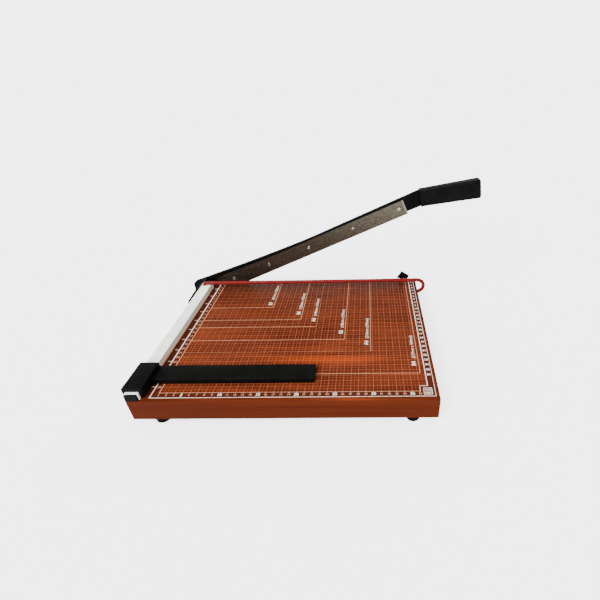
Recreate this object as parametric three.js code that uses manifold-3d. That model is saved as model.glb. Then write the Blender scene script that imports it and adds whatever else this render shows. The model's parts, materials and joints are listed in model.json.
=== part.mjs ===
// Guillotine paper cutter, in millimetres, +Z up.
// Drawn about the zero corner of its table: x runs right from the fence along the cutting edge,
// y runs back from the cutting edge, and z rises from the table top.
import * as THREE from 'three';
import { mergeVertices } from 'three/addons/utils/BufferGeometryUtils.js';
import { RoundedBoxGeometry } from 'three/addons/geometries/RoundedBoxGeometry.js';
import Module from 'manifold-3d';

const wasm = await Module();
wasm.setup();

// Base board and its printed film
const fenceWidth = 18;
const tableLength = 384.4;
const tableDepth = 305;
const boardThickness = 32.6;
const filmThickness = 0.6;

// Fixed lower blade, let into the back face flush with the table
const lowerBladeThickness = 2;
const lowerBladeHeight = 14;
const lowerBladeScrewShares = [0.09, 0.36, 0.64, 0.91];

// Fence rail, an inverted channel
const fenceHeight = 11;
const fenceWall = 1.5;
const fenceCorner = 0.8;
const fenceFrontInset = 3;
const fenceBackInset = 20;
const plugLength = 14;
const plugLip = 2.4;
const plugBackInset = 24;
const plugFloor = 3;
const plugPocketRadius = 4;

// Guard rod
const rodRadius = 3.3;
const rodInset = 28;
const rodLegInset = 12.2;
const rodLift = 0.3;
const rodElbowRadius = 4.2;
const rodHoleRadius = 4;
const rodHoleShift = 0.2;
const rodRise = 1;
const rodReturnRadius = 12.15;
const rodAnchorDepth = 12;
const rodEntryDepth = 14;

// Arm: a flat bar, its place on the pivot and its rest angle
const pivotLeft = 30;
const pivotDrop = 10;
const armAngle = 23.3;
const armClosedAngle = 3.5;
const armThickness = 6.5;
const armEndRadius = 15.1;
const armBoreRadius = 4.08;
const armWaistLevel = 3.5;
const armNeckLevel = 4.8;
const armTaperShare = 0.6;
const armSwellShare = 0.68;
const armBottomLevel = -22.4;
const armBellyEnd = 36;
const armTopJoinAngle = 86;
const neckLength = 28;

// Cutting blade, screwed to the front of the arm
const bladeThickness = 2.5;
const bladeGap = 0.1;
const bladeStart = 34;
const bladeOverhang = 5.6;
const bladeEdgeLevel = -25.2;
const bladeTopLevel = 1.2;
const bladeHeelRise = 5.2;
const bladeTaperShare = 0.47;
const bladeSwellShare = 0.6;
const bladeToeChamfer = 0.6;
const bladeBevelHeight = 2.6;
const bladeLand = 0.4;
const bladeScrewShares = [0.085, 0.285, 0.508, 0.741, 0.969];
const bladeScrewLevel = -11.5;
const bladeHeelScrewLevel = -8.5;

// Grip, moulded over a tang that is bent down from the arm
const gripStartLevel = -10.4;
const gripAngle = 14.6;
const gripTail = 38.4;
const gripHeight = 32.4;
const gripThickness = 20;
const gripRise = 1.6;
const gripRootShare = 0.72;
const gripRootHeightShare = 0.93;
const gripCorner = 4.5;
const collarLength = 4;
const collarHeight = 27.8;
const collarThickness = 16;
const collarCorner = 1.2;
const tangLength = 64;
const tangHeight = 15;
const gripScrewStation = 44;

// Pivot bracket, a bent plate: its leg lies on the left face, its ear carries the pivot
const bracketThickness = 4.5;
const bracketBend = 1;
const bracketLength = 84;
const bracketHeelTop = 9.4;
const bracketTop = 12.2;
const bracketToeTop = 10;
const bracketShoulder = 46;
const bracketToeRadius = 2.5;
const bracketToeDrop = 14;
const bracketBottom = 28;
const earRadius = 18;
const earReach = 15.5;
const bracketScrewPlaces = [[68, 8.5], [40, 14], [12, 20]];

// Pivot stack
const pivotRadius = 4;
const pivotHeadRadius = 6;
const pivotHeadHeight = 3;
const pivotHeadCrown = 1.2;
const pivotWasherRadius = 9;
const frontWasherThickness = 1;
const rearWasherThickness = 1.5;
const discSpringThickness = 0.9;
const discSpringRise = 0.8;
const discSpringRadius = 8;
const nutSides = 6;
const nutFlatRadius = 6.5;
const nutHeight = 5;
const nutCollarRadius = 5.8;
const nutCollarHeight = 1.6;
const boltProud = 1.2;

// Paper stop: a saddle on the rail and a bar across the table
const saddleLength = 51.2;
const saddleWall = 3.5;
const saddleRoof = 4.5;
const saddleCorner = 1.5;
const saddleOuterDrop = 4;
const saddleLift = 1.4;
const stopFrontInset = 5.8;
const stopReach = 221;
const stopDepth = 27;
const stopHeight = 9.7;
const stopLift = 0.9;
const stopCorner = 1;
const stopScrewShares = [0.28, 0.72];
const springThickness = 0.4;
const springPocket = 1.4;
const springHeight = 6;
const springLevel = 2.5;
const springLengthShare = 0.6;
const springBow = 1.1;

// Latch plate and the stud that it catches
const latchInset = 36;
const latchPivotDrop = 19.4;
const latchAngle = 56;
const latchLockAngle = 54;
const latchThickness = 2.5;
const latchLength = 32.6;
const latchWidth = 18;
const latchCorner = 1;
const latchStandoff = 1;
const latchHoleRadius = 2.6;
const latchNotchReach = 14.5;
const latchNotchOffset = 2;
const latchMouthReach = 10;
const latchMouthOffset = 12;
const latchNotchRadius = 4.1;
const spacerRadius = 5;
const studRadius = 3;
const studHeadRadius = 4.6;
const studHeadHeight = 2;

// Rubber feet
const footTopRadius = 11;
const footBottomRadius = 9.3;
const footHeight = 12.4;
const footRound = 1.8;
const footPocketRadius = 5.6;
const footPocketDepth = 5;
const footInsetLeft = 32;
const footInsetRight = 32;
const footInsetFront = 12.5;
const footInsetBack = 22;

// Screws: radii, heights and lengths of each kind
const bladeScrew = { head: 3.6, height: 1.9, shank: 1.9, length: 8, drive: 1.7, depth: 1.1 };
const stripScrew = { head: 3.2, height: 1.5, shank: 1.6, length: 14, drive: 1.5, depth: 0.9 };
const plugScrew = { head: 3.4, height: 1.8, shank: 1.7, length: 18, drive: 1.5, depth: 1 };
const stopScrew = { head: 2.8, height: 1.5, shank: 1.4, length: 14, drive: 1.3, depth: 0.8 };
const bracketScrew = { head: 4, height: 2.4, shank: 2, length: 15, drive: 1.8, depth: 1.2 };
const footScrew = { head: 4.4, height: 2.4, shank: 2.1, length: 20, drive: 1.9, depth: 1.2 };
const gripScrew = { head: 3.2, height: 2.2, shank: 1.6, length: 12, drive: 1.4, depth: 1 };
const latchScrew = { head: 5, height: 2.6, shank: 2.5, length: 27, drive: 2.2, depth: 1.3 };

// Clearances, overrun of cutters, and facet counts
const seatGap = 0.3;
const runGap = 0.15;
const holeGap = 0.15;
const slideGap = 0.5;
const overrun = 3;
const weldDistance = 0.0001;
const screwSides = 16;
const roundSides = 24;
const boreSides = 32;
const rodSides = 12;
const elbowSteps = 6;
const returnSteps = 12;
const bowSteps = 8;
const cornerSteps = 3;
const curveSteps = 14;

// Places worked out from the sizes above
const degrees = THREE.MathUtils.degToRad;
const tableFront = -tableDepth;
const boardBack = -lowerBladeThickness;
const boardTop = -filmThickness;
const boardBottom = boardTop - boardThickness;
const fenceFront = tableFront + fenceFrontInset;
const fenceBack = -fenceBackInset;
const fenceMiddle = -fenceWidth / 2;
const rodLevel = fenceHeight + rodLift + rodRadius;
const rodX = -rodLegInset;
const rodY = -rodInset;
const rodReturnLevel = rodLevel + rodRise - 2 * rodReturnRadius;
const bladeEnd = pivotLeft + tableLength + bladeOverhang;
const bladeLength = bladeEnd - bladeStart;
const gripStart = bladeEnd + neckLength;
const gripLength = tangLength + gripTail;
const bladeFront = bladeGap;
const bladeBack = bladeFront + bladeThickness;
const armFront = bladeBack + seatGap;
const armBack = armFront + armThickness;
const earBack = armFront - runGap - frontWasherThickness;
const earFront = earBack - bracketThickness;
const bracketInner = -fenceWidth;
const bracketOuter = bracketInner - bracketThickness;
const rearWasherFront = armBack + runGap;
const rearWasherBack = rearWasherFront + rearWasherThickness;
const nutFront = rearWasherBack + discSpringThickness + discSpringRise;
const nutBack = nutFront + nutHeight + nutCollarHeight;
const latchPivotX = tableLength - latchInset;
const latchFront = armBack + latchStandoff;
const latchBack = latchFront + latchThickness;
const saddleFront = tableFront + stopFrontInset;
const saddleBack = saddleFront + saddleLength;
const saddleInnerLeft = -fenceWidth - slideGap;
const saddleOuterLeft = saddleInnerLeft - saddleWall;
const saddleInnerRight = slideGap;
const saddleOuterRight = saddleInnerRight + saddleWall;
const saddleCeiling = fenceHeight + slideGap;
const saddleTop = saddleCeiling + saddleRoof;

// Colours and finishes
const finish = (color, roughness, metalness) => (
  new THREE.MeshStandardMaterial({ color, roughness, metalness })
);
const brownWood = finish(0x6e2f17, 0.6, 0);
const printedFilm = finish(0x9c4420, 0.45, 0);
const whitePaint = finish(0xecece6, 0.4, 0.1);
const redCoat = finish(0xb3201c, 0.35, 0);
const blackPaint = finish(0x161616, 0.5, 0.3);
const blackPlastic = finish(0x1b1b1a, 0.6, 0);
const bladeSteel = finish(0x8d877c, 0.35, 0.9);
const zincSteel = finish(0xb9bbb8, 0.35, 0.9);
const springSteel = finish(0x5c5f63, 0.4, 0.9);
const blackRubber = finish(0x121212, 0.85, 0);

// Point in space
const at = (x, y, z) => new THREE.Vector3(x, y, z);

// Geometry with shared corners, no empty triangles, and faces pointing out
function closedGeometry(geometry) {
  const bare = geometry.clone();
  bare.deleteAttribute('normal');
  bare.deleteAttribute('uv');
  const merged = mergeVertices(bare, weldDistance);
  const corners = merged.index.array;
  const kept = [];
  for (let i = 0; i < corners.length; i += 3) {
    const [a, b, c] = [corners[i], corners[i + 1], corners[i + 2]];
    if (a !== b && b !== c && c !== a) kept.push(a, b, c);
  }
  merged.setIndex(kept);
  if (signedVolume(merged) < 0) {
    for (let i = 0; i < kept.length; i += 3) [kept[i], kept[i + 1]] = [kept[i + 1], kept[i]];
    merged.setIndex(kept);
  }
  return merged;
}

// Volume inside the triangles, negative when they face inwards
function signedVolume(geometry) {
  const places = geometry.attributes.position;
  const [a, b, c] = [at(0, 0, 0), at(0, 0, 0), at(0, 0, 0)];
  let sixfold = 0;
  for (let i = 0; i < geometry.index.count; i += 3) {
    a.fromBufferAttribute(places, geometry.index.getX(i));
    b.fromBufferAttribute(places, geometry.index.getX(i + 1));
    c.fromBufferAttribute(places, geometry.index.getX(i + 2));
    sixfold += a.dot(b.cross(c));
  }
  return sixfold / 6;
}

// Solid for cutting and joining, made from a closed geometry
function toSolid(geometry) {
  const closed = closedGeometry(geometry);
  return new wasm.Manifold(new wasm.Mesh({
    numProp: 3,
    vertProperties: new Float32Array(closed.attributes.position.array),
    triVerts: new Uint32Array(closed.index.array),
  }));
}

// Geometry of a solid
function fromSolid(solid) {
  const mesh = solid.getMesh();
  const geometry = new THREE.BufferGeometry();
  geometry.setAttribute('position', new THREE.BufferAttribute(new Float32Array(mesh.vertProperties), 3));
  geometry.setIndex(Array.from(mesh.triVerts));
  return geometry;
}

function cut(geometry, cutters) {
  return fromSolid(cutters.reduce((rest, cutter) => rest.subtract(toSolid(cutter)), toSolid(geometry)));
}

function join(first, second) {
  return fromSolid(toSolid(first).add(toSolid(second)));
}

function common(first, second) {
  return fromSolid(toSolid(first).intersect(toSolid(second)));
}

// Named piece of one material
function piece(name, geometry, material) {
  const mesh = new THREE.Mesh(closedGeometry(geometry), material);
  mesh.name = name;
  return mesh;
}

// Block between two opposite corners
function block(low, high) {
  const size = high.clone().sub(low);
  const middle = low.clone().add(high).multiplyScalar(0.5);
  return new THREE.BoxGeometry(size.x, size.y, size.z).translate(middle.x, middle.y, middle.z);
}

// Straight round bar from one point to another
function roundBar(start, end, radius, sides = roundSides) {
  const run = end.clone().sub(start);
  const length = run.length();
  const bar = new THREE.CylinderGeometry(radius, radius, length, sides).translate(0, length / 2, 0);
  bar.applyQuaternion(new THREE.Quaternion().setFromUnitVectors(at(0, 1, 0), run.normalize()));
  return bar.translate(start.x, start.y, start.z);
}

// Turned body: pairs of radius and height, with the height running from start along direction
function turned(profile, start, direction, sides = roundSides) {
  const points = profile.map(([radius, height]) => new THREE.Vector2(radius, height));
  const body = new THREE.LatheGeometry(points, sides);
  body.applyQuaternion(new THREE.Quaternion().setFromUnitVectors(at(0, 1, 0), direction));
  return body.translate(start.x, start.y, start.z);
}

// Outline in x and y, thickened upwards from zero
function plate(shape, depth, curveSegments) {
  return new THREE.ExtrudeGeometry(shape, { depth, bevelEnabled: false, curveSegments });
}

// Outline in x and z, thickened from one y to another
function plateAlongY(shape, front, rear, steps = cornerSteps) {
  const turn = new THREE.Matrix4().makeBasis(at(1, 0, 0), at(0, 0, 1), at(0, -1, 0));
  return plate(shape, rear - front, steps).applyMatrix4(turn).translate(0, rear, 0);
}

// Outline in y and z, thickened from one x to another
function plateAlongX(shape, start, end, steps = cornerSteps) {
  const turn = new THREE.Matrix4().makeBasis(at(0, 1, 0), at(0, 0, 1), at(1, 0, 0));
  return plate(shape, end - start, steps).applyMatrix4(turn).translate(start, 0, 0);
}

// Outline in x and y, thickened from one z to another
function plateAlongZ(shape, bottom, top, steps = cornerSteps) {
  return plate(shape, top - bottom, steps).translate(0, 0, bottom);
}

// Rectangle with round corners
function roundedRectangle(start, low, end, high, corner) {
  const shape = new THREE.Shape();
  shape.moveTo(start + corner, low);
  shape.lineTo(end - corner, low);
  shape.absarc(end - corner, low + corner, corner, -Math.PI / 2, 0);
  shape.lineTo(end, high - corner);
  shape.absarc(end - corner, high - corner, corner, 0, Math.PI / 2);
  shape.lineTo(start + corner, high);
  shape.absarc(start + corner, high - corner, corner, Math.PI / 2, Math.PI);
  shape.lineTo(start, low + corner);
  shape.absarc(start + corner, low + corner, corner, Math.PI, Math.PI * 3 / 2);
  return shape;
}

function polygon(points) {
  return new THREE.Shape(points.map(([x, y]) => new THREE.Vector2(x, y)));
}

// Screw whose cone sits flush: height zero is the face that it is let into
function flushScrew(kind, face, outward) {
  return turned([
    [0, -kind.length],
    [kind.shank / 2, -kind.length],
    [kind.shank, -kind.length + kind.shank],
    [kind.shank, -kind.height],
    [kind.head, 0],
    [kind.drive, 0],
    [0, -kind.depth],
  ], face, outward, screwSides);
}

// Room for a flush screw, wider than it by the hole clearance
function flushHole(kind, face, outward) {
  return turned([
    [0, -kind.length - kind.shank],
    [kind.shank + holeGap, -kind.length - kind.shank],
    [kind.shank + holeGap, -kind.height],
    [kind.head + holeGap, 0],
    [kind.head + holeGap, overrun],
    [0, overrun],
  ], face, outward, screwSides);
}

// Screw with a domed head: height zero is the seat under its head
function panScrew(kind, seat, outward) {
  return turned([
    [0, -kind.length],
    [kind.shank / 2, -kind.length],
    [kind.shank, -kind.length + kind.shank],
    [kind.shank, 0],
    [kind.head, 0],
    [kind.head, kind.height / 2],
    [(kind.head + kind.drive) / 2, kind.height],
    [kind.drive, kind.height],
    [0, kind.height - kind.depth],
  ], seat, outward, screwSides);
}

// Plain hole for a shank
function shankHole(kind, seat, outward) {
  const inner = seat.clone().addScaledVector(outward, -kind.length - kind.shank);
  const outer = seat.clone().addScaledVector(outward, overrun);
  return roundBar(inner, outer, kind.shank + holeGap, screwSides);
}

// Directions
const left = at(-1, 0, 0);
const back = at(0, 1, 0);
const forward = at(0, -1, 0);
const up = at(0, 0, 1);
const down = at(0, 0, -1);

// Places on the base
const stripScrewPlaces = lowerBladeScrewShares.map((share) => (
  at(share * tableLength, 0, -lowerBladeHeight / 2)
));
const bracketScrewSeats = bracketScrewPlaces.map(([inset, drop]) => at(bracketOuter, -inset, -drop));
const footPlaces = {
  front_left: at(footInsetLeft - fenceWidth, tableFront + footInsetFront, boardBottom),
  front_right: at(tableLength - footInsetRight, tableFront + footInsetFront, boardBottom),
  rear_left: at(footInsetLeft - fenceWidth, -footInsetBack, boardBottom),
  rear_right: at(tableLength - footInsetRight, -footInsetBack, boardBottom),
};
const footSeat = (place) => place.clone().addScaledVector(down, footHeight - footPocketDepth);
const plugBands = {
  front: [fenceFront, fenceFront + plugLength],
  rear: [fenceBack - plugBackInset - plugLength, fenceBack - plugBackInset],
};
const plugSeat = ([front, rear]) => at(fenceMiddle, (front + rear) / 2, plugFloor);
const latchPivot = at(latchPivotX, latchBack + runGap, -latchPivotDrop);

// Stations of a clockwise bend between two compass angles, each a place and a heading
function bendStations(centre, radius, from, to, steps) {
  return Array.from({ length: steps + 1 }, (_, i) => {
    const angle = from + (to - from) * (i / steps);
    const offset = at(Math.sin(angle), 0, Math.cos(angle));
    return [centre.clone().addScaledVector(offset, radius), at(Math.cos(angle), 0, -Math.sin(angle))];
  });
}

// Stations of the slight bow in which the rod rises, ever faster, from its elbow to its return
function bowStations(start, run) {
  return Array.from({ length: bowSteps - 1 }, (_, i) => {
    const share = (i + 1) / bowSteps;
    const place = at(start.x + run * share, start.y, start.z + rodRise * share ** 2);
    return [place, at(run, 0, 2 * rodRise * share).normalize()];
  });
}

// Centre line of the guard rod: up out of the board, across the table, round and back into its side
function rodStations() {
  const elbow = at(rodX + rodElbowRadius, rodY, rodLevel - rodElbowRadius);
  const turn = at(tableLength, rodY, rodLevel + rodRise - rodReturnRadius);
  return [
    [at(rodX, rodY, -rodAnchorDepth), up],
    ...bendStations(elbow, rodElbowRadius, -Math.PI / 2, 0, elbowSteps),
    ...bowStations(at(elbow.x, rodY, rodLevel), turn.x - elbow.x),
    ...bendStations(turn, rodReturnRadius, 0, Math.PI, returnSteps),
    [at(tableLength - rodEntryDepth, rodY, rodReturnLevel), left],
  ];
}

// Curve that visits given stations, each a place and a heading
class StationCurve extends THREE.Curve {
  constructor(stations) {
    super();
    this.stations = stations;
  }

  nearest(t) {
    return this.stations[Math.round(t * (this.stations.length - 1))];
  }

  getPoint(t) {
    return this.nearest(t)[0].clone();
  }

  getTangentAt(t) {
    return this.nearest(t)[1].clone();
  }

  getSpacedPoints(count) {
    return this.getPoints(count);
  }
}

function roundSection(radius, sides) {
  const corners = Array.from({ length: sides }, (_, i) => (i / sides) * Math.PI * 2);
  return polygon(corners.map((angle) => [radius * Math.cos(angle), radius * Math.sin(angle)]));
}

// Hole for the leg of the rod, from a given depth up through the table
function rodLegHole(depth) {
  return roundBar(at(rodX, rodY, -depth), at(rodX, rodY, overrun), rodRadius + holeGap);
}

// Hole in the right side for the rod's return
function rodReturnHole() {
  const inner = at(tableLength - rodEntryDepth - holeGap, rodY, rodReturnLevel);
  const outer = at(tableLength + overrun, rodY, rodReturnLevel);
  return roundBar(inner, outer, rodRadius + holeGap);
}

// Base

function baseBoard() {
  const board = block(at(-fenceWidth, tableFront, boardBottom), at(tableLength, boardBack, boardTop));
  return piece('base_board', cut(board, [
    ...stripScrewPlaces.map((place) => shankHole(stripScrew, place, back)),
    ...bracketScrewSeats.map((seat) => shankHole(bracketScrew, seat, left)),
    ...Object.values(footPlaces).map((place) => shankHole(footScrew, footSeat(place), down)),
    ...Object.values(plugBands).map((band) => shankHole(plugScrew, plugSeat(band), up)),
    shankHole(latchScrew, latchPivot, back),
    rodLegHole(rodAnchorDepth + holeGap),
    rodReturnHole(),
  ]), brownWood);
}

function gridSheet() {
  const film = block(at(-fenceWidth, tableFront, boardTop), at(tableLength, boardBack, 0));
  return piece('grid_sheet', cut(film, [
    ...Object.values(plugBands).map((band) => shankHole(plugScrew, plugSeat(band), up)),
    rodLegHole(overrun),
  ]), printedFilm);
}

function lowerBlade() {
  const strip = block(at(0, boardBack, -lowerBladeHeight), at(tableLength, 0, 0));
  const holes = stripScrewPlaces.map((place) => flushHole(stripScrew, place, back));
  return piece('lower_blade', cut(strip, holes), bladeSteel);
}

function lowerBladeScrews() {
  return stripScrewPlaces.map((place, i) => (
    piece(`lower_blade_screw_${i + 1}`, flushScrew(stripScrew, place, back), zincSteel)
  ));
}

// Channel section: walls stand on the table, and the elbow of the rod drops through the roof
function fenceRail() {
  const section = new THREE.Shape();
  section.moveTo(-fenceWidth, 0);
  section.lineTo(-fenceWidth + fenceWall, 0);
  section.lineTo(-fenceWidth + fenceWall, fenceHeight - fenceWall);
  section.lineTo(-fenceWall, fenceHeight - fenceWall);
  section.lineTo(-fenceWall, 0);
  section.lineTo(0, 0);
  const cornerZ = fenceHeight - fenceCorner;
  section.lineTo(0, cornerZ);
  section.absarc(-fenceCorner, cornerZ, fenceCorner, 0, Math.PI / 2);
  section.lineTo(-fenceWidth + fenceCorner, fenceHeight);
  section.absarc(-fenceWidth + fenceCorner, cornerZ, fenceCorner, Math.PI / 2, Math.PI);
  const rail = plateAlongY(section, fenceFront, fenceBack);
  const holeX = rodX + rodHoleShift;
  const hole = roundBar(at(holeX, rodY, 0), at(holeX, rodY, fenceHeight + overrun), rodHoleRadius);
  return piece('fence_rail', cut(rail, [hole]), whitePaint);
}

// Block that holds the rail from inside: the front one has a lip that closes the rail's end
function fencePlug(name, band) {
  const low = at(-fenceWidth + fenceWall + seatGap, band[0], 0);
  const high = at(-fenceWall - seatGap, band[1], fenceHeight - fenceWall - seatGap);
  const seat = plugSeat(band);
  const pocket = roundBar(seat, seat.clone().addScaledVector(up, fenceHeight), plugPocketRadius);
  const body = cut(block(low, high), [pocket, flushHole(plugScrew, seat, up)]);
  const lipBack = fenceFront - seatGap;
  const lip = block(at(-fenceWidth, lipBack - plugLip, 0), at(high.x, lipBack, high.z));
  const tie = block(at(low.x, lipBack - plugLip, 0), at(high.x, fenceFront + overrun, plugFloor));
  const plug = name === 'front' ? join(body, join(lip, tie)) : body;
  return [
    piece(`fence_plug_${name}`, plug, blackPlastic),
    piece(`fence_plug_screw_${name}`, flushScrew(plugScrew, seat, up), zincSteel),
  ];
}

function guardRod() {
  const path = new StationCurve(rodStations());
  const steps = path.stations.length - 1;
  const rod = new THREE.ExtrudeGeometry(roundSection(rodRadius, rodSides), { steps, extrudePath: path });
  return piece('guard_rod', rod, redCoat);
}

// Point on the axis of the pivot
const onPivot = (y) => at(-pivotLeft, y, -pivotDrop);

// Bent plate: an L in plan, trimmed to the outlines of its leg and its ear
function pivotBracket() {
  const outerBend = bracketBend + bracketThickness;
  const reach = -pivotLeft - earReach;
  const plan = new THREE.Shape();
  plan.moveTo(bracketOuter, -bracketLength - overrun);
  plan.lineTo(bracketInner, -bracketLength - overrun);
  plan.lineTo(bracketInner, earBack - outerBend);
  plan.absarc(bracketInner - outerBend, earBack - outerBend, outerBend, 0, Math.PI / 2);
  plan.lineTo(reach, earBack);
  plan.lineTo(reach, earFront);
  plan.lineTo(bracketOuter - bracketBend, earFront);
  plan.absarc(bracketOuter - bracketBend, earFront - bracketBend, bracketBend, Math.PI / 2, 0, true);
  const bentStrip = plateAlongZ(plan, -bracketBottom - overrun, bracketTop + overrun, cornerSteps * 2);

  const toeY = -bracketLength + bracketToeRadius;
  const leg = new THREE.Shape();
  leg.moveTo(overrun, bracketHeelTop);
  leg.lineTo(earFront, bracketHeelTop);
  leg.lineTo(-bracketShoulder, bracketTop);
  leg.lineTo(toeY, bracketToeTop);
  leg.absarc(toeY, bracketToeTop - bracketToeRadius, bracketToeRadius, Math.PI / 2, Math.PI);
  leg.absarc(toeY, bracketToeRadius - bracketToeDrop, bracketToeRadius, Math.PI, Math.PI * 3 / 2);
  leg.lineTo(-bracketShoulder, -bracketToeDrop);
  leg.lineTo(earFront, -bracketBottom);
  leg.lineTo(overrun, -bracketBottom);
  const legBlock = plateAlongX(leg, bracketOuter - bracketBend, bracketInner + overrun, cornerSteps * 2);

  const ear = new THREE.Shape();
  ear.moveTo(bracketInner, bracketHeelTop);
  ear.lineTo(bracketOuter, bracketHeelTop);
  ear.absarc(-pivotLeft, -pivotDrop, earRadius, Math.PI / 2, Math.PI * 3 / 2);
  ear.lineTo(bracketOuter, -bracketBottom);
  ear.lineTo(bracketInner, -bracketBottom);
  const earBlock = plateAlongY(ear, earFront - outerBend, earBack + overrun, curveSteps);

  const bent = common(bentStrip, join(legBlock, earBlock));
  const bore = roundBar(onPivot(earFront - overrun), onPivot(earBack + overrun), pivotRadius + holeGap);
  const holes = bracketScrewSeats.map((seat) => shankHole(bracketScrew, seat, left));
  return piece('pivot_bracket', cut(bent, [bore, ...holes]), blackPaint);
}

function bracketScrews() {
  return bracketScrewSeats.map((seat, i) => (
    piece(`bracket_screw_${i + 1}`, panScrew(bracketScrew, seat, left), blackPaint)
  ));
}

// Ring with a rectangular section about the pivot
function pivotRing(front, rear, radius) {
  return turned([
    [pivotRadius + holeGap, 0],
    [radius, 0],
    [radius, rear - front],
    [pivotRadius + holeGap, rear - front],
    [pivotRadius + holeGap, 0],
  ], onPivot(front), back);
}

function pivotStack() {
  const length = nutBack + boltProud - earFront;
  const bolt = turned([
    [0, length],
    [pivotRadius - pivotHeadCrown, length],
    [pivotRadius, length - pivotHeadCrown],
    [pivotRadius, 0],
    [pivotHeadRadius, 0],
    [pivotHeadRadius, -pivotHeadHeight + pivotHeadCrown],
    [pivotHeadRadius - pivotHeadCrown, -pivotHeadHeight],
    [0, -pivotHeadHeight],
  ], onPivot(earFront), back, boreSides);

  const disc = turned([
    [discSpringRadius, 0],
    [discSpringRadius, discSpringThickness],
    [pivotRadius + holeGap, discSpringThickness + discSpringRise],
    [pivotRadius + holeGap, discSpringRise],
    [discSpringRadius, 0],
  ], onPivot(rearWasherBack), back);

  const cornerRadius = nutFlatRadius / Math.cos(Math.PI / nutSides);
  const hexagon = roundBar(onPivot(nutFront), onPivot(nutFront + nutHeight), cornerRadius, nutSides);
  const collar = roundBar(onPivot(nutFront + nutHeight / 2), onPivot(nutBack), nutCollarRadius);
  const [threadStart, threadEnd] = [onPivot(nutFront - overrun), onPivot(nutBack + overrun)];
  const thread = roundBar(threadStart, threadEnd, pivotRadius + holeGap, boreSides);
  const washerFront = pivotRing(earBack, earBack + frontWasherThickness, pivotWasherRadius);
  const washerRear = pivotRing(rearWasherFront, rearWasherBack, pivotWasherRadius);

  return [
    piece('pivot_bolt', bolt, blackPaint),
    piece('pivot_washer_front', washerFront, zincSteel),
    piece('pivot_washer_rear', washerRear, zincSteel),
    piece('disc_spring', disc, springSteel),
    piece('pivot_nut', cut(join(hexagon, collar), [thread]), zincSteel),
  ];
}

function foot(name, place) {
  const pad = turned([
    [footScrew.shank + holeGap, 0],
    [footTopRadius, 0],
    [footBottomRadius, footHeight - footRound],
    [footBottomRadius - footRound, footHeight],
    [footPocketRadius, footHeight],
    [footPocketRadius, footHeight - footPocketDepth],
    [footScrew.shank + holeGap, footHeight - footPocketDepth],
    [footScrew.shank + holeGap, 0],
  ], place, down);
  return [
    piece(`foot_${name}`, pad, blackRubber),
    piece(`foot_screw_${name}`, panScrew(footScrew, footSeat(place), down), zincSteel),
  ];
}

function latchFixings() {
  const start = at(latchPivotX, boardBack, -latchPivotDrop);
  const spacer = turned([
    [latchScrew.shank + holeGap, 0],
    [spacerRadius, 0],
    [spacerRadius, latchFront - runGap - boardBack],
    [latchScrew.shank + holeGap, latchFront - runGap - boardBack],
    [latchScrew.shank + holeGap, 0],
  ], start, back);
  return [
    piece('latch_spacer', spacer, zincSteel),
    piece('latch_screw', panScrew(latchScrew, latchPivot, back), blackPaint),
  ];
}

// Paper stop

const stopScrewSeats = stopScrewShares.map((share) => (
  at(saddleInnerRight, saddleBack - share * stopDepth, (stopHeight + stopLift) / 2)
));

function stopSaddle() {
  const section = new THREE.Shape();
  section.moveTo(saddleOuterLeft, -saddleOuterDrop);
  section.lineTo(saddleInnerLeft, -saddleOuterDrop);
  section.lineTo(saddleInnerLeft, saddleCeiling);
  section.lineTo(saddleInnerRight, saddleCeiling);
  section.lineTo(saddleInnerRight, saddleLift);
  section.lineTo(saddleOuterRight, saddleLift);
  section.lineTo(saddleOuterRight, saddleTop - saddleCorner);
  const cornerZ = saddleTop - saddleCorner;
  section.absarc(saddleOuterRight - saddleCorner, cornerZ, saddleCorner, 0, Math.PI / 2);
  section.lineTo(saddleOuterLeft + saddleCorner, saddleTop);
  section.absarc(saddleOuterLeft + saddleCorner, cornerZ, saddleCorner, Math.PI / 2, Math.PI);
  const saddle = plateAlongY(section, saddleFront, saddleBack);
  const pocketHalf = saddleLength * springLengthShare / 2 + seatGap;
  const middle = (saddleFront + saddleBack) / 2;
  const pocket = block(
    at(saddleInnerLeft - springPocket, middle - pocketHalf, springLevel - seatGap),
    at(saddleInnerLeft + overrun, middle + pocketHalf, springLevel + springHeight + seatGap),
  );
  const holes = stopScrewSeats.map((seat) => flushHole(stopScrew, seat, left));
  return piece('stop_saddle', cut(saddle, [pocket, ...holes]), blackPlastic);
}

function stopBar() {
  const section = roundedRectangle(saddleBack - stopDepth, stopLift, saddleBack, stopHeight, stopCorner);
  const bar = plateAlongX(section, saddleOuterRight, stopReach);
  const holes = stopScrewSeats.map((seat) => shankHole(stopScrew, seat, left));
  return piece('stop_bar', cut(bar, holes), blackPlastic);
}

function stopScrews() {
  return stopScrewSeats.map((seat, i) => (
    piece(`stop_bar_screw_${i + 1}`, flushScrew(stopScrew, seat, left), zincSteel)
  ));
}

// Bowed leaf in the pocket of the saddle, its crown against the rail
function stopSpring() {
  const middle = (saddleFront + saddleBack) / 2;
  const half = saddleLength * springLengthShare / 2;
  const floor = saddleInnerLeft - springPocket + seatGap / 2;
  const leaf = new THREE.Shape();
  leaf.moveTo(floor, middle - half);
  leaf.quadraticCurveTo(floor + 2 * springBow, middle, floor, middle + half);
  const face = floor + springThickness;
  leaf.lineTo(face, middle + half);
  leaf.quadraticCurveTo(face + 2 * springBow, middle, face, middle - half);
  const spring = plateAlongZ(leaf, springLevel, springLevel + springHeight, curveSteps);
  return piece('stop_spring', spring, springSteel);
}

// Arm, drawn level with its pivot at the origin: x along the bar, z across it

// Place in the grip's own direction: along it from its root, and across it
function gripPoint(along, across) {
  const lean = degrees(gripAngle);
  return [
    gripStart + along * Math.cos(lean) + across * Math.sin(lean),
    gripStartLevel - along * Math.sin(lean) + across * Math.cos(lean),
  ];
}

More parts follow.
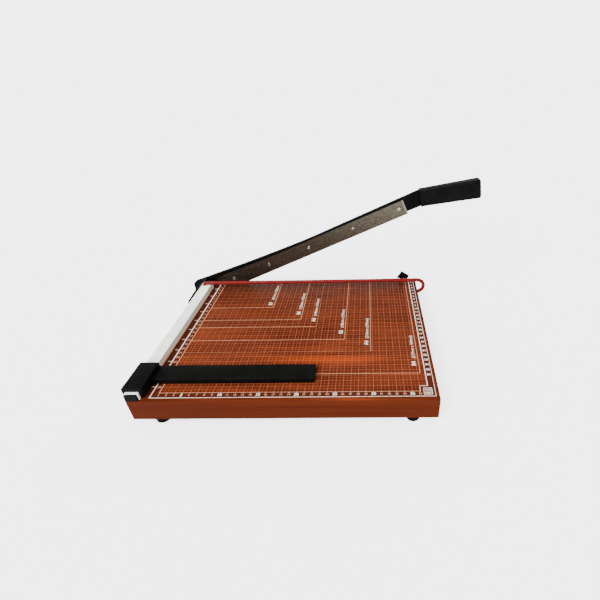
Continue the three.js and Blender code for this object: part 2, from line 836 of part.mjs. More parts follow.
// Where a level line of the bar meets the plane of the grip's root
function neckEnd(level) {
  const across = (level - gripStartLevel) / Math.cos(degrees(gripAngle));
  return gripPoint(-seatGap, across);
}

const bladeScrewPlaces = bladeScrewShares.map((share, i) => (
  at(bladeStart + share * bladeLength, bladeFront, i === 0 ? bladeHeelScrewLevel : bladeScrewLevel)
));
const gripScrewPlace = (y) => {
  const [x, z] = gripPoint(gripScrewStation, 0);
  return at(x, y, z);
};
const gripBackAtScrew = (armFront + armBack) / 2 + gripThickness * (1 + gripRootShare) / 4;
const gripScrewSeat = gripScrewPlace(gripBackAtScrew - gripScrew.height);

// The stud waits where the notch of the locked latch holds it while the arm is closed
function studPlace() {
  const notch = at(latchNotchReach, latchNotchOffset, 0);
  notch.applyAxisAngle(up, degrees(latchAngle + latchLockAngle));
  notch.add(at(latchPivotX + pivotLeft, pivotDrop - latchPivotDrop, 0));
  notch.applyAxisAngle(up, -degrees(armClosedAngle));
  return [notch.x, notch.y];
}

function armBar() {
  const topJoin = degrees(armTopJoinAngle);
  const tang = tangHeight / 2;
  const outline = new THREE.Shape();
  outline.absarc(0, 0, armEndRadius, topJoin, Math.PI * 3 / 2);
  const belly = [armBellyEnd / 3, -armEndRadius, armBellyEnd / 2, armBottomLevel];
  outline.bezierCurveTo(...belly, armBellyEnd, armBottomLevel);
  outline.lineTo(...neckEnd(armBottomLevel));
  outline.lineTo(...gripPoint(-seatGap, -tang));
  outline.lineTo(...gripPoint(tangLength, -tang));
  outline.lineTo(...gripPoint(tangLength, tang));
  outline.lineTo(...gripPoint(-seatGap, tang));
  outline.lineTo(...neckEnd(armNeckLevel));
  const taperEnd = armTaperShare * bladeEnd;
  const topX = armEndRadius * Math.cos(topJoin);
  const topZ = armEndRadius * Math.sin(topJoin);
  outline.lineTo(taperEnd, armWaistLevel);
  outline.quadraticCurveTo(topX + armSwellShare * (taperEnd - topX), armWaistLevel, topX, topZ);
  const bar = plateAlongY(outline, armFront, armBack, curveSteps);

  const [studX, studZ] = studPlace();
  const through = (x, z, radius, sides = screwSides) => (
    roundBar(at(x, armFront - overrun, z), at(x, armBack + overrun, z), radius, sides)
  );
  return piece('arm_bar', cut(bar, [
    through(0, 0, armBoreRadius, boreSides),
    through(studX, studZ, studRadius / 2 + holeGap),
    through(gripScrewSeat.x, gripScrewSeat.z, gripScrew.shank + holeGap),
    ...bladeScrewPlaces.map((place) => through(place.x, place.z, bladeScrew.shank + holeGap)),
  ]), blackPaint);
}

function cuttingBlade() {
  const outline = new THREE.Shape();
  outline.moveTo(bladeStart, bladeEdgeLevel);
  outline.lineTo(bladeEnd - bladeToeChamfer, bladeEdgeLevel);
  outline.lineTo(bladeEnd, bladeEdgeLevel + bladeToeChamfer);
  outline.lineTo(bladeEnd, bladeTopLevel);
  const taper = bladeTaperShare * bladeLength;
  outline.lineTo(bladeStart + taper, bladeTopLevel);
  const swellX = bladeStart + bladeSwellShare * taper;
  outline.quadraticCurveTo(swellX, bladeTopLevel, bladeStart, bladeTopLevel + bladeHeelRise);
  const strip = plateAlongY(outline, bladeFront, bladeBack, curveSteps);
  const bevel = polygon([
    [bladeFront + bladeLand, bladeEdgeLevel - overrun],
    [bladeFront + bladeLand, bladeEdgeLevel],
    [bladeBack, bladeEdgeLevel + bladeBevelHeight],
    [bladeBack + overrun, bladeEdgeLevel + bladeBevelHeight],
    [bladeBack + overrun, bladeEdgeLevel - overrun],
  ]);
  const ground = plateAlongX(bevel, bladeStart - overrun, bladeEnd + overrun);
  const holes = bladeScrewPlaces.map((place) => flushHole(bladeScrew, place, forward));
  return piece('cutting_blade', cut(strip, [ground, ...holes]), bladeSteel);
}

function bladeScrews() {
  return bladeScrewPlaces.map((place, i) => (
    piece(`blade_screw_${i + 1}`, flushScrew(bladeScrew, place, forward), zincSteel)
  ));
}

// Rounded block that thins towards the arm, with a collar and a pocket for the tang
function grip() {
  const body = new RoundedBoxGeometry(gripLength, gripThickness, gripHeight, cornerSteps, gripCorner);
  const places = body.attributes.position;
  for (let i = 0; i < places.count; i += 1) {
    const along = places.getX(i) / gripLength + 0.5;
    places.setY(i, places.getY(i) * (gripRootShare + (1 - gripRootShare) * along));
    places.setZ(i, places.getZ(i) * (gripRootHeightShare + (1 - gripRootHeightShare) * along));
  }
  body.translate(gripLength / 2, 0, gripRise);
  const collarSize = [collarLength, collarThickness, collarHeight];
  const collar = new RoundedBoxGeometry(...collarSize, cornerSteps, collarCorner);
  collar.translate(collarLength / 2, 0, gripRise);
  const handle = join(body, collar);
  handle.applyMatrix4(new THREE.Matrix4().makeRotationY(degrees(gripAngle)));
  handle.translate(gripStart, (armFront + armBack) / 2, gripStartLevel);

  const room = tangHeight / 2 + seatGap;
  const mouth = polygon([
    gripPoint(-overrun, -room),
    gripPoint(tangLength + seatGap, -room),
    gripPoint(tangLength + seatGap, room),
    gripPoint(-overrun, room),
  ]);
  const pocket = plateAlongY(mouth, armFront - seatGap, armBack + seatGap);
  const headEnd = gripScrewPlace(gripBackAtScrew + overrun);
  const headRoom = roundBar(gripScrewSeat, headEnd, gripScrew.head + holeGap, screwSides);
  const hole = shankHole(gripScrew, gripScrewSeat, back);
  return piece('grip', cut(handle, [pocket, headRoom, hole]), blackPlastic);
}

function lockStud() {
  const [x, z] = studPlace();
  const shank = latchFront - armBack + latchThickness + latchStandoff;
  return piece('lock_stud', turned([
    [0, -armThickness],
    [studRadius / 2, -armThickness],
    [studRadius / 2, 0],
    [studRadius, 0],
    [studRadius, shank],
    [studHeadRadius, shank],
    [studHeadRadius, shank + studHeadHeight / 2],
    [studHeadRadius - studHeadHeight / 2, shank + studHeadHeight],
    [0, shank + studHeadHeight],
  ], at(x, armBack, z), back), zincSteel);
}

// Latch, drawn with its pivot at the origin: x along the plate, z across it
function latchPlate() {
  const half = latchWidth / 2;
  const outline = roundedRectangle(-half, -half, latchLength, half, latchCorner);
  const through = (x, z, radius) => (
    roundBar(at(x, latchFront - overrun, z), at(x, latchBack + overrun, z), radius)
  );
  const mouthX = latchMouthReach - latchNotchReach;
  const mouthZ = latchMouthOffset - latchNotchOffset;
  const notchSide = latchNotchRadius / Math.hypot(mouthX, mouthZ);
  const notch = polygon([
    [latchNotchReach + mouthZ * notchSide, latchNotchOffset - mouthX * notchSide],
    [latchMouthReach + mouthZ * notchSide, latchMouthOffset - mouthX * notchSide],
    [latchMouthReach - mouthZ * notchSide, latchMouthOffset + mouthX * notchSide],
    [latchNotchReach - mouthZ * notchSide, latchNotchOffset + mouthX * notchSide],
  ]);
  return piece('latch_plate', cut(plateAlongY(outline, latchFront, latchBack), [
    through(0, 0, latchHoleRadius),
    through(latchNotchReach, latchNotchOffset, latchNotchRadius),
    plateAlongY(notch, latchFront - overrun, latchBack + overrun),
  ]), blackPaint);
}

// Assembly

const arm = new THREE.Group();
arm.add(armBar(), cuttingBlade(), ...bladeScrews(), grip());
arm.add(piece('grip_screw', panScrew(gripScrew, gripScrewSeat, back), zincSteel), lockStud());
arm.position.set(-pivotLeft, 0, -pivotDrop);
arm.rotation.y = -degrees(armAngle);

const latch = new THREE.Group();
latch.add(latchPlate());
latch.position.set(latchPivotX, 0, -latchPivotDrop);
latch.rotation.y = -degrees(latchAngle);

const cutter = new THREE.Group();
cutter.add(baseBoard(), gridSheet(), lowerBlade(), ...lowerBladeScrews());
cutter.add(fenceRail(), ...Object.entries(plugBands).flatMap(([name, band]) => fencePlug(name, band)));
cutter.add(guardRod(), pivotBracket(), ...bracketScrews(), ...pivotStack());
cutter.add(...Object.entries(footPlaces).flatMap(([name, place]) => foot(name, place)));
cutter.add(...latchFixings());
cutter.add(stopSaddle(), stopBar(), ...stopScrews(), stopSpring());
cutter.add(arm, latch);

// The whole cutter stands on the origin, centred over it
cutter.updateMatrixWorld(true);
const bounds = new THREE.Box3().setFromObject(cutter, true);
const centre = bounds.getCenter(at(0, 0, 0));
cutter.position.set(-centre.x, -centre.y, -bounds.min.z);

const paperCutter = new THREE.Group();
paperCutter.add(cutter);

export default paperCutter;
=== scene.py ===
# %% [markdown]
# # A desk paper cutter
# The solid parts come ready-made, in metres, at their real places. This lesson dresses them: it gives
# every surface a finish, prints the table, and remakes the rounded pieces more finely, so that light
# runs over their rims as it does on moulded and painted parts.

# %% Load the solid parts
import json
import math
import bpy
import numpy as np
from mathutils import Matrix, Vector


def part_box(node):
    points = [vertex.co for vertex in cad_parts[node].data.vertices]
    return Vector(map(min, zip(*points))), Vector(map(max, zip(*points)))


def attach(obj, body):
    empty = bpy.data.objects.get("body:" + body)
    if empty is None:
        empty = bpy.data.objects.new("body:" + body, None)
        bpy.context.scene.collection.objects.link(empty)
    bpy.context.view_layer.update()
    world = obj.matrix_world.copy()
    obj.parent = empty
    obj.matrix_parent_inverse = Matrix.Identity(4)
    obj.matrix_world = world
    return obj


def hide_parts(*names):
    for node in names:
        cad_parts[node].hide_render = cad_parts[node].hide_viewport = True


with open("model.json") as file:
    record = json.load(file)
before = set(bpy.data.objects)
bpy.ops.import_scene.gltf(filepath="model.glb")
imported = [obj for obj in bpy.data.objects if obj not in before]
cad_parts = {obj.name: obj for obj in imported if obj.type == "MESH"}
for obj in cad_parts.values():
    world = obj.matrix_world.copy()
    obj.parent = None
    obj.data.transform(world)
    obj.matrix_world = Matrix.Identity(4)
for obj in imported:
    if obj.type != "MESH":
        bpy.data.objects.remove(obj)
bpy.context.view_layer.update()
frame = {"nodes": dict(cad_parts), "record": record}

# %% [markdown]
# ## One corner to measure from
# The table has a natural zero: where the fence, the cutting edge and the table top meet. All sizes
# below are millimetres from that corner, x to the right, y away from the user, z up. The corner could be
# typed in as a number, but it is read from the boxes of the three pieces that meet there, so nothing has
# to be fitted by eye.

# %% The zero corner and millimetres
corner = np.array([
    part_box("fence_rail")[1].x,
    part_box("lower_blade")[1].y,
    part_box("grid_sheet")[1].z,
])
board_left, table_right = -18.0, 384.4
table_front, table_back = -305.0, -2.0
film_thickness = 0.6
rail_height = 11.0
floor_level = -45.6


def to_metres(points):
    """Millimetres from the zero corner to metres in the scene: divide by 1000 and add the corner."""
    return np.asarray(points, float) / 1000 + corner


print("zero corner:", corner.round(5))

# %% [markdown]
# ## Meshes from arrays
# Every new piece is one array of points and one array of faces. It could be pushed into shape from a
# cube with modifiers, but a formula keeps each radius exact and is easy to change. A grid of points
# needs no loop: the four corners of all its faces come from index arithmetic. Edges sharper than a given
# angle stay crisp and the rest is shaded smooth, so a rounded rim shows as one soft highlight.

# %% Helpers that make a mesh
def grid_faces(rings, steps):
    """Quads between neighbouring closed rings of points: corner (i, j) has the number i * steps + j."""
    i, j = np.meshgrid(np.arange(rings - 1), np.arange(steps), indexing="ij")
    here = i * steps + j
    beside = i * steps + (j + 1) % steps
    return np.stack([here, beside, beside + steps, here + steps], -1).reshape(-1, 4)


def make_piece(name, points, faces, body, slot, finish=None, crisp=35.0):
    """Puts points (millimetres) and faces into a new object at the origin that rides on a body.
    Its finish is that of its slot, unless another one is given."""
    mesh = bpy.data.meshes.new(name)
    mesh.from_pydata(to_metres(points).tolist(), [], faces)
    mesh.validate()
    mesh.shade_smooth()
    mesh.set_sharp_from_angle(angle=math.radians(crisp))
    mesh.materials.append(finish or finishes[slot].material)
    thing = bpy.data.objects.new(name, mesh)
    bpy.context.scene.collection.objects.link(thing)
    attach(thing, body)
    print(name, len(mesh.vertices), "points", len(mesh.polygons), "faces")
    return thing


def merged(parts):
    """Several (points, faces) pairs as one: each part's face numbers are raised by the points before it."""
    points, faces, count = [], [], 0
    for part_points, part_faces in parts:
        points.append(part_points)
        faces += [[number + count for number in face] for face in part_faces]
        count += len(part_points)
    return np.vstack(points), faces


print("two rings of four points make", len(grid_faces(2, 4)), "faces")

# %% [markdown]
# ## Three ways to make a form
# Nearly all of this machine is turned, bent from bar or cut from plate, so three functions make every
# form: a profile turned about an axis, a circle carried along a path, and a flat outline given a
# thickness with rounded rims. Screw and bevel modifiers could do the same, but a rim that is part of the
# formula keeps the same radius all the way round, also where an outline bends.

# %% A turned form
def turned(profile, steps):
    """Profile of (radius, height) about the z axis: the point at angle t is (r cos t, r sin t, h).
    The first and the last profile points lie on the axis and are one point each."""
    profile = np.asarray(profile, float)
    angle = np.linspace(0, 2 * math.pi, steps, endpoint=False)
    ring = profile[1:-1]
    x, y = np.outer(ring[:, 0], np.cos(angle)), np.outer(ring[:, 0], np.sin(angle))
    z = np.repeat(ring[:, 1:], steps, axis=1)
    points = np.stack([x, y, z], -1).reshape(-1, 3)
    low, high = len(points), len(points) + 1
    points = np.vstack([points, [[0, 0, profile[0, 1]], [0, 0, profile[-1, 1]]]])
    j = np.arange(steps)
    after = (j + 1) % steps
    last = (len(ring) - 1) * steps
    under = np.stack([np.full(steps, low), after, j], -1)
    over = np.stack([np.full(steps, high), last + j, last + after], -1)
    return points, [*grid_faces(len(ring), steps).tolist(), *under.tolist(), *over.tolist()]


def aimed(points, place, outward):
    """Turns local z to a direction and moves the local origin to a place: with u, v, w as the new axes,
    a point (x, y, z) goes to x u + y v + z w + place."""
    w = np.asarray(outward, float) / np.linalg.norm(outward)
    u = np.cross([0.0, 0.0, 1.0] if abs(w[2]) < 0.9 else [1.0, 0.0, 0.0], w)
    u /= np.linalg.norm(u)
    return points @ np.stack([u, np.cross(w, u), w]) + np.asarray(place, float)


print("a turned disc of 48 steps:", len(turned([[0, 0], [1, 0], [1, 1], [0, 1]], 48)[0]), "points")

# %% A bar along a path
def along_path(places, headings, side, radius, steps=28):
    """Circle of a radius carried along a path: ring i stands square to heading i, across a fixed side."""
    places, headings = np.asarray(places, float), np.asarray(headings, float)
    headings = headings / np.linalg.norm(headings, axis=1, keepdims=True)
    side = np.tile(np.asarray(side, float), (len(places), 1))
    other = np.cross(headings, side)
    angle = np.linspace(0, 2 * math.pi, steps, endpoint=False)
    out, up = np.cos(angle)[None, :, None], np.sin(angle)[None, :, None]
    circle = radius * (out * side[:, None] + up * other[:, None])
    points = (places[:, None] + circle).reshape(-1, 3)
    first, last = list(range(steps))[::-1], list(range(len(points) - steps, len(points)))
    return points, [*grid_faces(len(places), steps).tolist(), first, last]


print("a straight bar:", len(along_path([[0, 0, 0], [1, 0, 0]], [[1, 0, 0]] * 2, [0, 1, 0], 1)[0]), "points")

# %% Outlines
def curve(*controls, steps):
    """Bezier curve of any degree: the weights of its control points are the binomial terms of t and 1 - t."""
    controls = np.asarray(controls, float)
    n = len(controls) - 1
    t = np.linspace(0, 1, steps + 1)[:, None]
    weights = np.stack([math.comb(n, k) * t[:, 0] ** k * (1 - t[:, 0]) ** (n - k) for k in range(n + 1)], -1)
    return weights @ controls


def arc(centre, radius, start, end, steps):
    """Part of a circle between two angles in degrees: centre + radius (cos t, sin t)."""
    t = np.radians(np.linspace(start, end, steps + 1))
    return np.asarray(centre) + radius * np.stack([np.cos(t), np.sin(t)], -1)


def eased(outline, radius, steps=4):
    """Each corner p of a polygon becomes a small curve from a to b, one radius away from it on either
    side: (1 - t)^2 a + 2 t (1 - t) p + t^2 b."""
    p = np.asarray(outline, float)
    r = np.broadcast_to(np.asarray(radius, float), (len(p),))[:, None]
    back, ahead = np.roll(p, 1, 0) - p, np.roll(p, -1, 0) - p
    a = p + r * back / np.linalg.norm(back, axis=1, keepdims=True)
    b = p + r * ahead / np.linalg.norm(ahead, axis=1, keepdims=True)
    t = np.linspace(0, 1, steps + 1)[None, :, None]
    bend = (1 - t) ** 2 * a[:, None] + 2 * t * (1 - t) * p[:, None] + t ** 2 * b[:, None]
    return bend.reshape(-1, 2)


def box_outline(x0, y0, x1, y1, radius, steps=4):
    """Rectangle with eased corners, anticlockwise."""
    return eased([[x0, y0], [x1, y0], [x1, y1], [x0, y1]], radius, steps)


print("an eased rectangle:", len(box_outline(0, 0, 2, 1, 0.1)), "points")

# %% A plate with rounded rims
def soft_plate(outline, thickness, soft, rings=4):
    """An anticlockwise outline with a thickness, its rims rounded by quarter circles: at angle a the
    ring is drawn in by soft (1 - sin a) and stands soft (1 - cos a) inside the face."""
    p = np.asarray(outline, float)
    edge = np.roll(p, -1, 0) - p
    normal = np.stack([edge[:, 1], -edge[:, 0]], -1)
    normal /= np.maximum(np.linalg.norm(normal, axis=1, keepdims=True), 1e-9)
    before = np.roll(normal, 1, 0)
    outward = (normal + before) / np.maximum(1 + np.sum(normal * before, 1, keepdims=True), 0.25)
    a = np.linspace(0, math.pi / 2, rings + 1)
    draw = soft * (1 - np.sin(a))
    depth = soft * (1 - np.cos(a))
    draw, depth = np.concatenate([draw, draw[::-1]]), np.concatenate([depth, thickness - depth[::-1]])
    flat = p[None] - draw[:, None, None] * outward[None]
    points = np.concatenate([flat, np.broadcast_to(depth[:, None, None], (*flat.shape[:2], 1))], -1)
    n = len(p)
    first, last = list(range(n))[::-1], list(range((len(depth) - 1) * n, len(depth) * n))
    return points.reshape(-1, 3), [*grid_faces(len(depth), n).tolist(), first, last]


print("a soft plate:", len(soft_plate(box_outline(0, 0, 2, 1, 0.1), 0.5, 0.1)[0]), "points")

# %% [markdown]
# ## Finishes
# A real finish is never one flat colour. Each one could be a picture wrapped round the piece, but a
# picture blurs close up and shows its seams. So each starts from the same recipe of nodes: noise in the
# piece's own coordinates, stretched along its grain, drives the colour between two tones, and a finer
# noise drives the roughness and a shallow relief. Only the numbers change from paint to plastic to
# steel. Colours are given as they look on a screen and turned into linear light first.

# %% Colour and gloss
def linear(colour):
    """Screen colour 0 to 255 to linear light: (c / 12.92) below 0.04045, else ((c + 0.055) / 1.055) ^ 2.4."""
    c = np.asarray(colour, float) / 255
    return (*np.where(c <= 0.04045, c / 12.92, ((c + 0.055) / 1.055) ** 2.4).tolist(), 1.0)


def gloss(level):
    """How strongly a coat mirrors, where 0.5 is bare plastic. Under one wide lamp, black needs far less."""
    return {"Specular IOR Level": level}


print("middle grey in linear light:", round(linear((128, 128, 128))[0], 4))

# %% A material with short words for nodes
class Nodes:
    """A material and the ways to add a node to it and to wire its shader."""

    def __init__(self, name, colour, roughness, metallic=0.0, **sockets):
        self.material = bpy.data.materials.new(name)
        self.material.use_nodes = True
        self.material.diffuse_color = linear(colour)
        self.tree = self.material.node_tree
        self.shader = self.tree.nodes["Principled BSDF"]
        values = {"Base Color": linear(colour), "Roughness": roughness, "Metallic": metallic, **sockets}
        self.fill(self.shader, values)
        self.place = self.add("ShaderNodeTexCoord").outputs["Object"]

    def fill(self, node, values):
        """Gives each input of a node its value, or wires it where the value is another node's output."""
        for key, value in values.items():
            if isinstance(value, bpy.types.NodeSocket):
                self.tree.links.new(value, node.inputs[key])
            else:
                node.inputs[key].default_value = value

    def add(self, kind, inputs=None, **settings):
        """A new node with its settings and its inputs."""
        node = self.tree.nodes.new(kind)
        for key, value in settings.items():
            setattr(node, key, value)
        self.fill(node, inputs or {})
        return node

    def wire(self, output, key):
        """Leads an output to the shader."""
        self.tree.links.new(output, self.shader.inputs[key])

    def painted(self):
        """The colour that was wired to the shader last, so that more can be laid over it."""
        return self.shader.inputs["Base Color"].links[0].from_socket


print("node words: fill, add, wire, painted")

# %% Words for patterns
class Recipe(Nodes):
    """Noise, tones, relief and blends, each by one short call."""

    def stretched(self, stretch=(1, 1, 1), turn=0.0):
        """Object coordinates, turned about y and scaled: a small scale draws the noise out along an axis."""
        turned_place = self.add("ShaderNodeMapping", {"Vector": self.place, "Rotation": (0, turn, 0)})
        return self.add("ShaderNodeMapping", {"Vector": turned_place.outputs[0], "Scale": stretch}).outputs[0]

    def noise(self, scale, vector=None, detail=4.0, rough=0.55, distortion=0.0):
        """Cloudy noise from 0 to 1: scale is the number of clouds in a metre."""
        values = {"Vector": vector or self.place, "Scale": scale, "Detail": detail, "Roughness": rough,
                  "Distortion": distortion}
        return self.add("ShaderNodeTexNoise", values).outputs["Fac"]

    def tones(self, factor, *stops):
        """Colour ramp through (position, colour) stops."""
        ramp = self.add("ShaderNodeValToRGB", {"Fac": factor})
        band = ramp.color_ramp
        for k, (position, colour) in enumerate(stops):
            stop = band.elements[k] if k < 2 else band.elements.new(position)
            stop.position, stop.color = position, linear(colour)
        return ramp.outputs["Color"]

    def remap(self, factor, low, high, start=0.3, end=0.7):
        """Low at the start, high at the end, straight between them and level outside."""
        values = {"Value": factor, "From Min": start, "From Max": end, "To Min": low, "To Max": high}
        return self.add("ShaderNodeMapRange", values).outputs["Result"]

    def relief(self, height, distance):
        """Raises and lowers the surface's shading by a height over a distance in metres."""
        values = {"Height": height, "Distance": distance, "Strength": 1.0}
        self.wire(self.add("ShaderNodeBump", values).outputs["Normal"], "Normal")

    def blend(self, factor, first, second, mode="MIX"):
        """Two colours mixed, or multiplied, by a factor."""
        mix = self.add("ShaderNodeMix", data_type="RGBA", blend_type=mode)
        self.fill(mix, dict(zip((0, 6, 7), (factor, first, second))))
        return mix.outputs[2]

    def combine(self, operation, first, second):
        """One sum of two numbers, such as ADD or MULTIPLY."""
        return self.add("ShaderNodeMath", {0: first, 1: second}, operation=operation).outputs[0]


print("pattern words: stretched, noise, tones, remap, relief, blend, combine")

# %% The shared recipe
def worked_surface(name, dark, light, rough, metallic=0.0, *, scale, grain, relief,
                   stretch=(1, 1, 1), turn=0.0, spread=(0.35, 0.65), **sockets):
    """Two tones by stretched noise of a scale, roughness and relief by a finer noise, the grain."""
    recipe = Recipe(name, light, rough[0], metallic, **sockets)
    along = recipe.stretched(stretch, turn)
    patches = recipe.noise(scale, along)
    recipe.wire(recipe.tones(patches, (spread[0], dark), (spread[1], light)), "Base Color")
    fine = recipe.noise(grain, along, detail=3.0)
    recipe.wire(recipe.remap(fine, *rough), "Roughness")
    recipe.relief(fine, relief)
    return recipe


finishes = {}
print("recipe ready")

# %% [markdown]
# ## The finishes of this cutter
# The parts are enamelled, dipped, moulded, plated or ground. Each finish could have nodes of its own,
# but the shared recipe keeps them alike in strength, so no part looks as if it came from another
# picture. The arm stands open at 23.3 degrees, so the grain of the blade is turned by that angle to run
# along it. The blade is oiled and mottled, with small clouds that are twice as long as they are wide.

# %% Paints, plastics and rubber
arm_lean = math.radians(23.3)
finishes.update({
    "fence_paint": worked_surface("white_enamel", (232, 233, 228), (250, 250, 246), (0.3, 0.44),
                                  scale=60, grain=700, relief=0.00003, **gloss(0.05)),
    "red_coat": worked_surface("red_dip_coat", (86, 14, 16), (104, 19, 21), (0.2, 0.34),
                               scale=90, grain=500, relief=0.00003, **gloss(0.05)),
    "black_paint": worked_surface("black_enamel", (3, 3, 3), (7, 7, 7), (0.34, 0.5),
                                  scale=70, grain=1400, relief=0.00003, **gloss(0.03)),
    "black_plastic": worked_surface("black_moulding", (3, 3, 2), (7, 7, 6), (0.5, 0.66),
                                    scale=60, grain=1700, relief=0.00005, **gloss(0.05)),
    "grip_plastic": worked_surface("grip_moulding_black", (2, 2, 3), (6, 6, 7), (0.4, 0.56),
                                   scale=60, grain=2200, relief=0.00006, **gloss(0.05)),
    "rubber": worked_surface("black_rubber", (2, 2, 2), (5, 5, 5), (0.72, 0.9),
                             scale=80, grain=1500, relief=0.00006, **gloss(0.03)),
})
print("soft finishes:", ", ".join(finishes))

# %% Steels and stained wood
finishes.update({
    "zinc_steel": worked_surface("zinc_plate", (150, 152, 150), (208, 210, 206), (0.2, 0.36), 1.0,
                                 scale=200, grain=1500, relief=0.00001),
    "spring_steel": worked_surface("blued_spring_steel", (62, 66, 74), (104, 108, 114), (0.25, 0.4), 1.0,
                                   scale=150, grain=1200, relief=0.00001),
    "blade_steel": worked_surface("ground_blade_steel", (66, 60, 50), (104, 100, 88), (0.26, 0.42), 1.0,
                                  scale=420, grain=2600, relief=0.000008,
                                  stretch=(0.5, 1, 1), turn=arm_lean, spread=(0.25, 0.75)),
    "board": worked_surface("stained_board_edge", (61, 20, 7), (72, 27, 10), (0.4, 0.56),
                            scale=110, grain=700, relief=0.000005, stretch=(0.03, 1, 1), **gloss(0.02)),
})
print("all finishes so far:", len(finishes))

# %% [markdown]
# ## Painted shade on the rail
# The rail's inner face stands beside the brown table, and its enamel carries painted shade there: a
# painted reflection of the table's brown, most near the table, and a grey painted band below the top. A
# second piece laid on the face could carry this, but it would show at the ends. So the enamel itself
# knows its place: it is tinted only within a hair of the face, by a ramp that follows the height.

# %% Painted shade and reflection on the rail's inner face
enamel = finishes["fence_paint"]
axes = enamel.add("ShaderNodeSeparateXYZ", {"Vector": enamel.place}).outputs
inner_face = enamel.remap(axes["X"], 0.0, 1.0, corner[0] - 0.0004, corner[0] - 0.0002)
up_the_face = enamel.remap(axes["Z"], 0.0, 1.0, corner[2], corner[2] + rail_height / 1000)
# Painted shade: brown near the table as a painted reflection of it, lighter higher up, a grey painted band,
# then near-white at the top.
shade = enamel.tones(up_the_face, (0.0, (192, 142, 120)), (0.3, (214, 186, 162)), (0.6, (222, 207, 186)),
                     (0.7, (172, 170, 160)), (0.82, (176, 174, 166)), (0.97, (228, 226, 220)))
enamel.wire(enamel.blend(inner_face, enamel.painted(), shade), "Base Color")
print("tinted the rail's inner face over", rail_height, "mm")

# %% [markdown]
# ## Marked end of the blade
# The last few millimetres of the blade are ground off: a dark line where the oil gathers, then bright
# bare steel. The line crosses the blade, so it follows the distance along the leaning arm: the turned
# x coordinate, counted from the pivot. A cut in the mesh would need the same line twice, once in the
# shape and once in the finish.

# %% Ground end of the blade
arm_pivot = np.array([-30.0, 0.0, -10.0])
oil_line, bare_end, line_blur = 414.8, 415.7, 0.3
steel = finishes["blade_steel"]
along_blade = steel.add("ShaderNodeSeparateXYZ", {"Vector": steel.stretched(turn=arm_lean)}).outputs["X"]
pivot_x, _, pivot_z = to_metres(arm_pivot)
pivot_along = pivot_x * math.cos(arm_lean) + pivot_z * math.sin(arm_lean)


def past(station):
    """0 before a station along the arm in millimetres and 1 after it."""
    start, end = pivot_along + station / 1000, pivot_along + (station + line_blur) / 1000
    return steel.remap(along_blade, 0.0, 1.0, start, end)


ground_end = steel.blend(past(oil_line), steel.painted(), linear((34, 32, 26)))
steel.wire(steel.blend(past(bare_end), ground_end, linear((112, 111, 98))), "Base Color")
print("marked the blade at", oil_line, "and", bare_end, "mm")

# %% [markdown]
# ## The printed film
# The table carries a printed film: red-brown wood grain that runs left to right, with darker patches.
# Wood grain could be cut from a solid pattern of rings, but a printed film shows only long fibres, and
# noise drawn out along x gives these. Two such noises at different scales make the fine lines and the
# broad bands, and a third, softer one marks the patches.

# %% Wood grain
film = Recipe("wood_grain_film", (90, 36, 16), 0.32, **gloss(0.015))
fine_lines = film.noise(430, film.stretched((0.03, 1, 1)), detail=5.0, rough=0.6, distortion=0.3)
broad_bands = film.noise(58, film.stretched((0.12, 1, 1)), detail=4.0, distortion=0.9)
patches = film.noise(16, film.stretched((0.5, 1, 1)), detail=2.0)
base_tone = film.tones(broad_bands, (0.3, (74, 28, 14)), (0.5, (92, 39, 21)), (0.7, (115, 48, 23)))
line_tone = film.tones(fine_lines, (0.3, (176, 160, 150)), (0.7, (255, 255, 250)))
grained = film.blend(0.7, base_tone, line_tone, "MULTIPLY")
patch_tone = film.tones(patches, (0.36, (205, 190, 180)), (0.58, (255, 255, 255)))
patched = film.blend(0.7, grained, patch_tone, "MULTIPLY")
print("grain nodes:", len(film.tree.nodes))

# %% [markdown]
# ### Painted shade and a streak
# The print is darker towards the back: painted shade, darkest by the cutting edge where the rod and the
# arm shade the table, then lighter in uneven bands towards the front. One orange streak lies right of
# the middle. The painted shade is a grey ramp over the distance from the cutting edge, which is swayed a
# little so that no edge runs dead straight. The streak is a stretched disc: the place is counted from its
# middle in units of its reach, and the length of that vector says how far out a point lies.

# %% Painted shade on the print from back to front
# Painted shade: these greys darken the print most by the cutting edge, under the rod and the arm.
painted_shade_greys = {0.03: 150, 0.12: 198, 0.26: 221, 0.36: 253, 0.45: 242, 0.57: 255, 0.65: 241, 0.75: 255,
              0.84: 240, 1.0: 253}
from_back = film.add("ShaderNodeSeparateXYZ", {"Vector": film.place}).outputs["Y"]
swayed = film.combine("ADD", from_back, film.remap(broad_bands, -0.006, 0.006))
share_of_depth = film.remap(swayed, 0.0, 1.0, corner[1], corner[1] + table_front / 1000)
painted_shade_tone = film.tones(share_of_depth, *[(share, (tone,) * 3) for share, tone in painted_shade_greys.items()])
with_painted_shade = film.blend(1.0, patched, painted_shade_tone, "MULTIPLY")
print("bands:", len(painted_shade_greys))

# %% The orange streak, and the film's roughness
streak_middle, streak_reach = [235.0, -228.0, 0.0], [105.0, 11.0]
per_reach = np.array([1000 / streak_reach[0], 1000 / streak_reach[1], 0.0])
shift = -to_metres(streak_middle) * per_reach
from_streak = film.add("ShaderNodeMapping", {"Vector": film.place, "Location": shift.tolist(),
                                             "Scale": per_reach.tolist()}).outputs[0]
away = film.add("ShaderNodeVectorMath", {0: from_streak}, operation="LENGTH").outputs["Value"]
faded = film.combine("MULTIPLY", film.remap(away, 1.0, 0.0, 0.3, 1.0), film.remap(fine_lines, 0.35, 1.0))
film.wire(film.blend(faded, with_painted_shade, linear((146, 52, 14))), "Base Color")
film.wire(film.remap(fine_lines, 0.26, 0.38), "Roughness")
film.relief(fine_lines, 0.00001)
finishes["film"] = film
print("film nodes:", len(film.tree.nodes))

# %% Give every solid part its finish
slot_of = {part["node"]: part["material_slot"] for part in frame["record"]["subparts"]}
for name, thing in frame["nodes"].items():
    finish = finishes[slot_of[name]].material
    thing.data.materials.clear()
    thing.data.materials.append(finish)
print("dressed", len(slot_of), "solid parts")

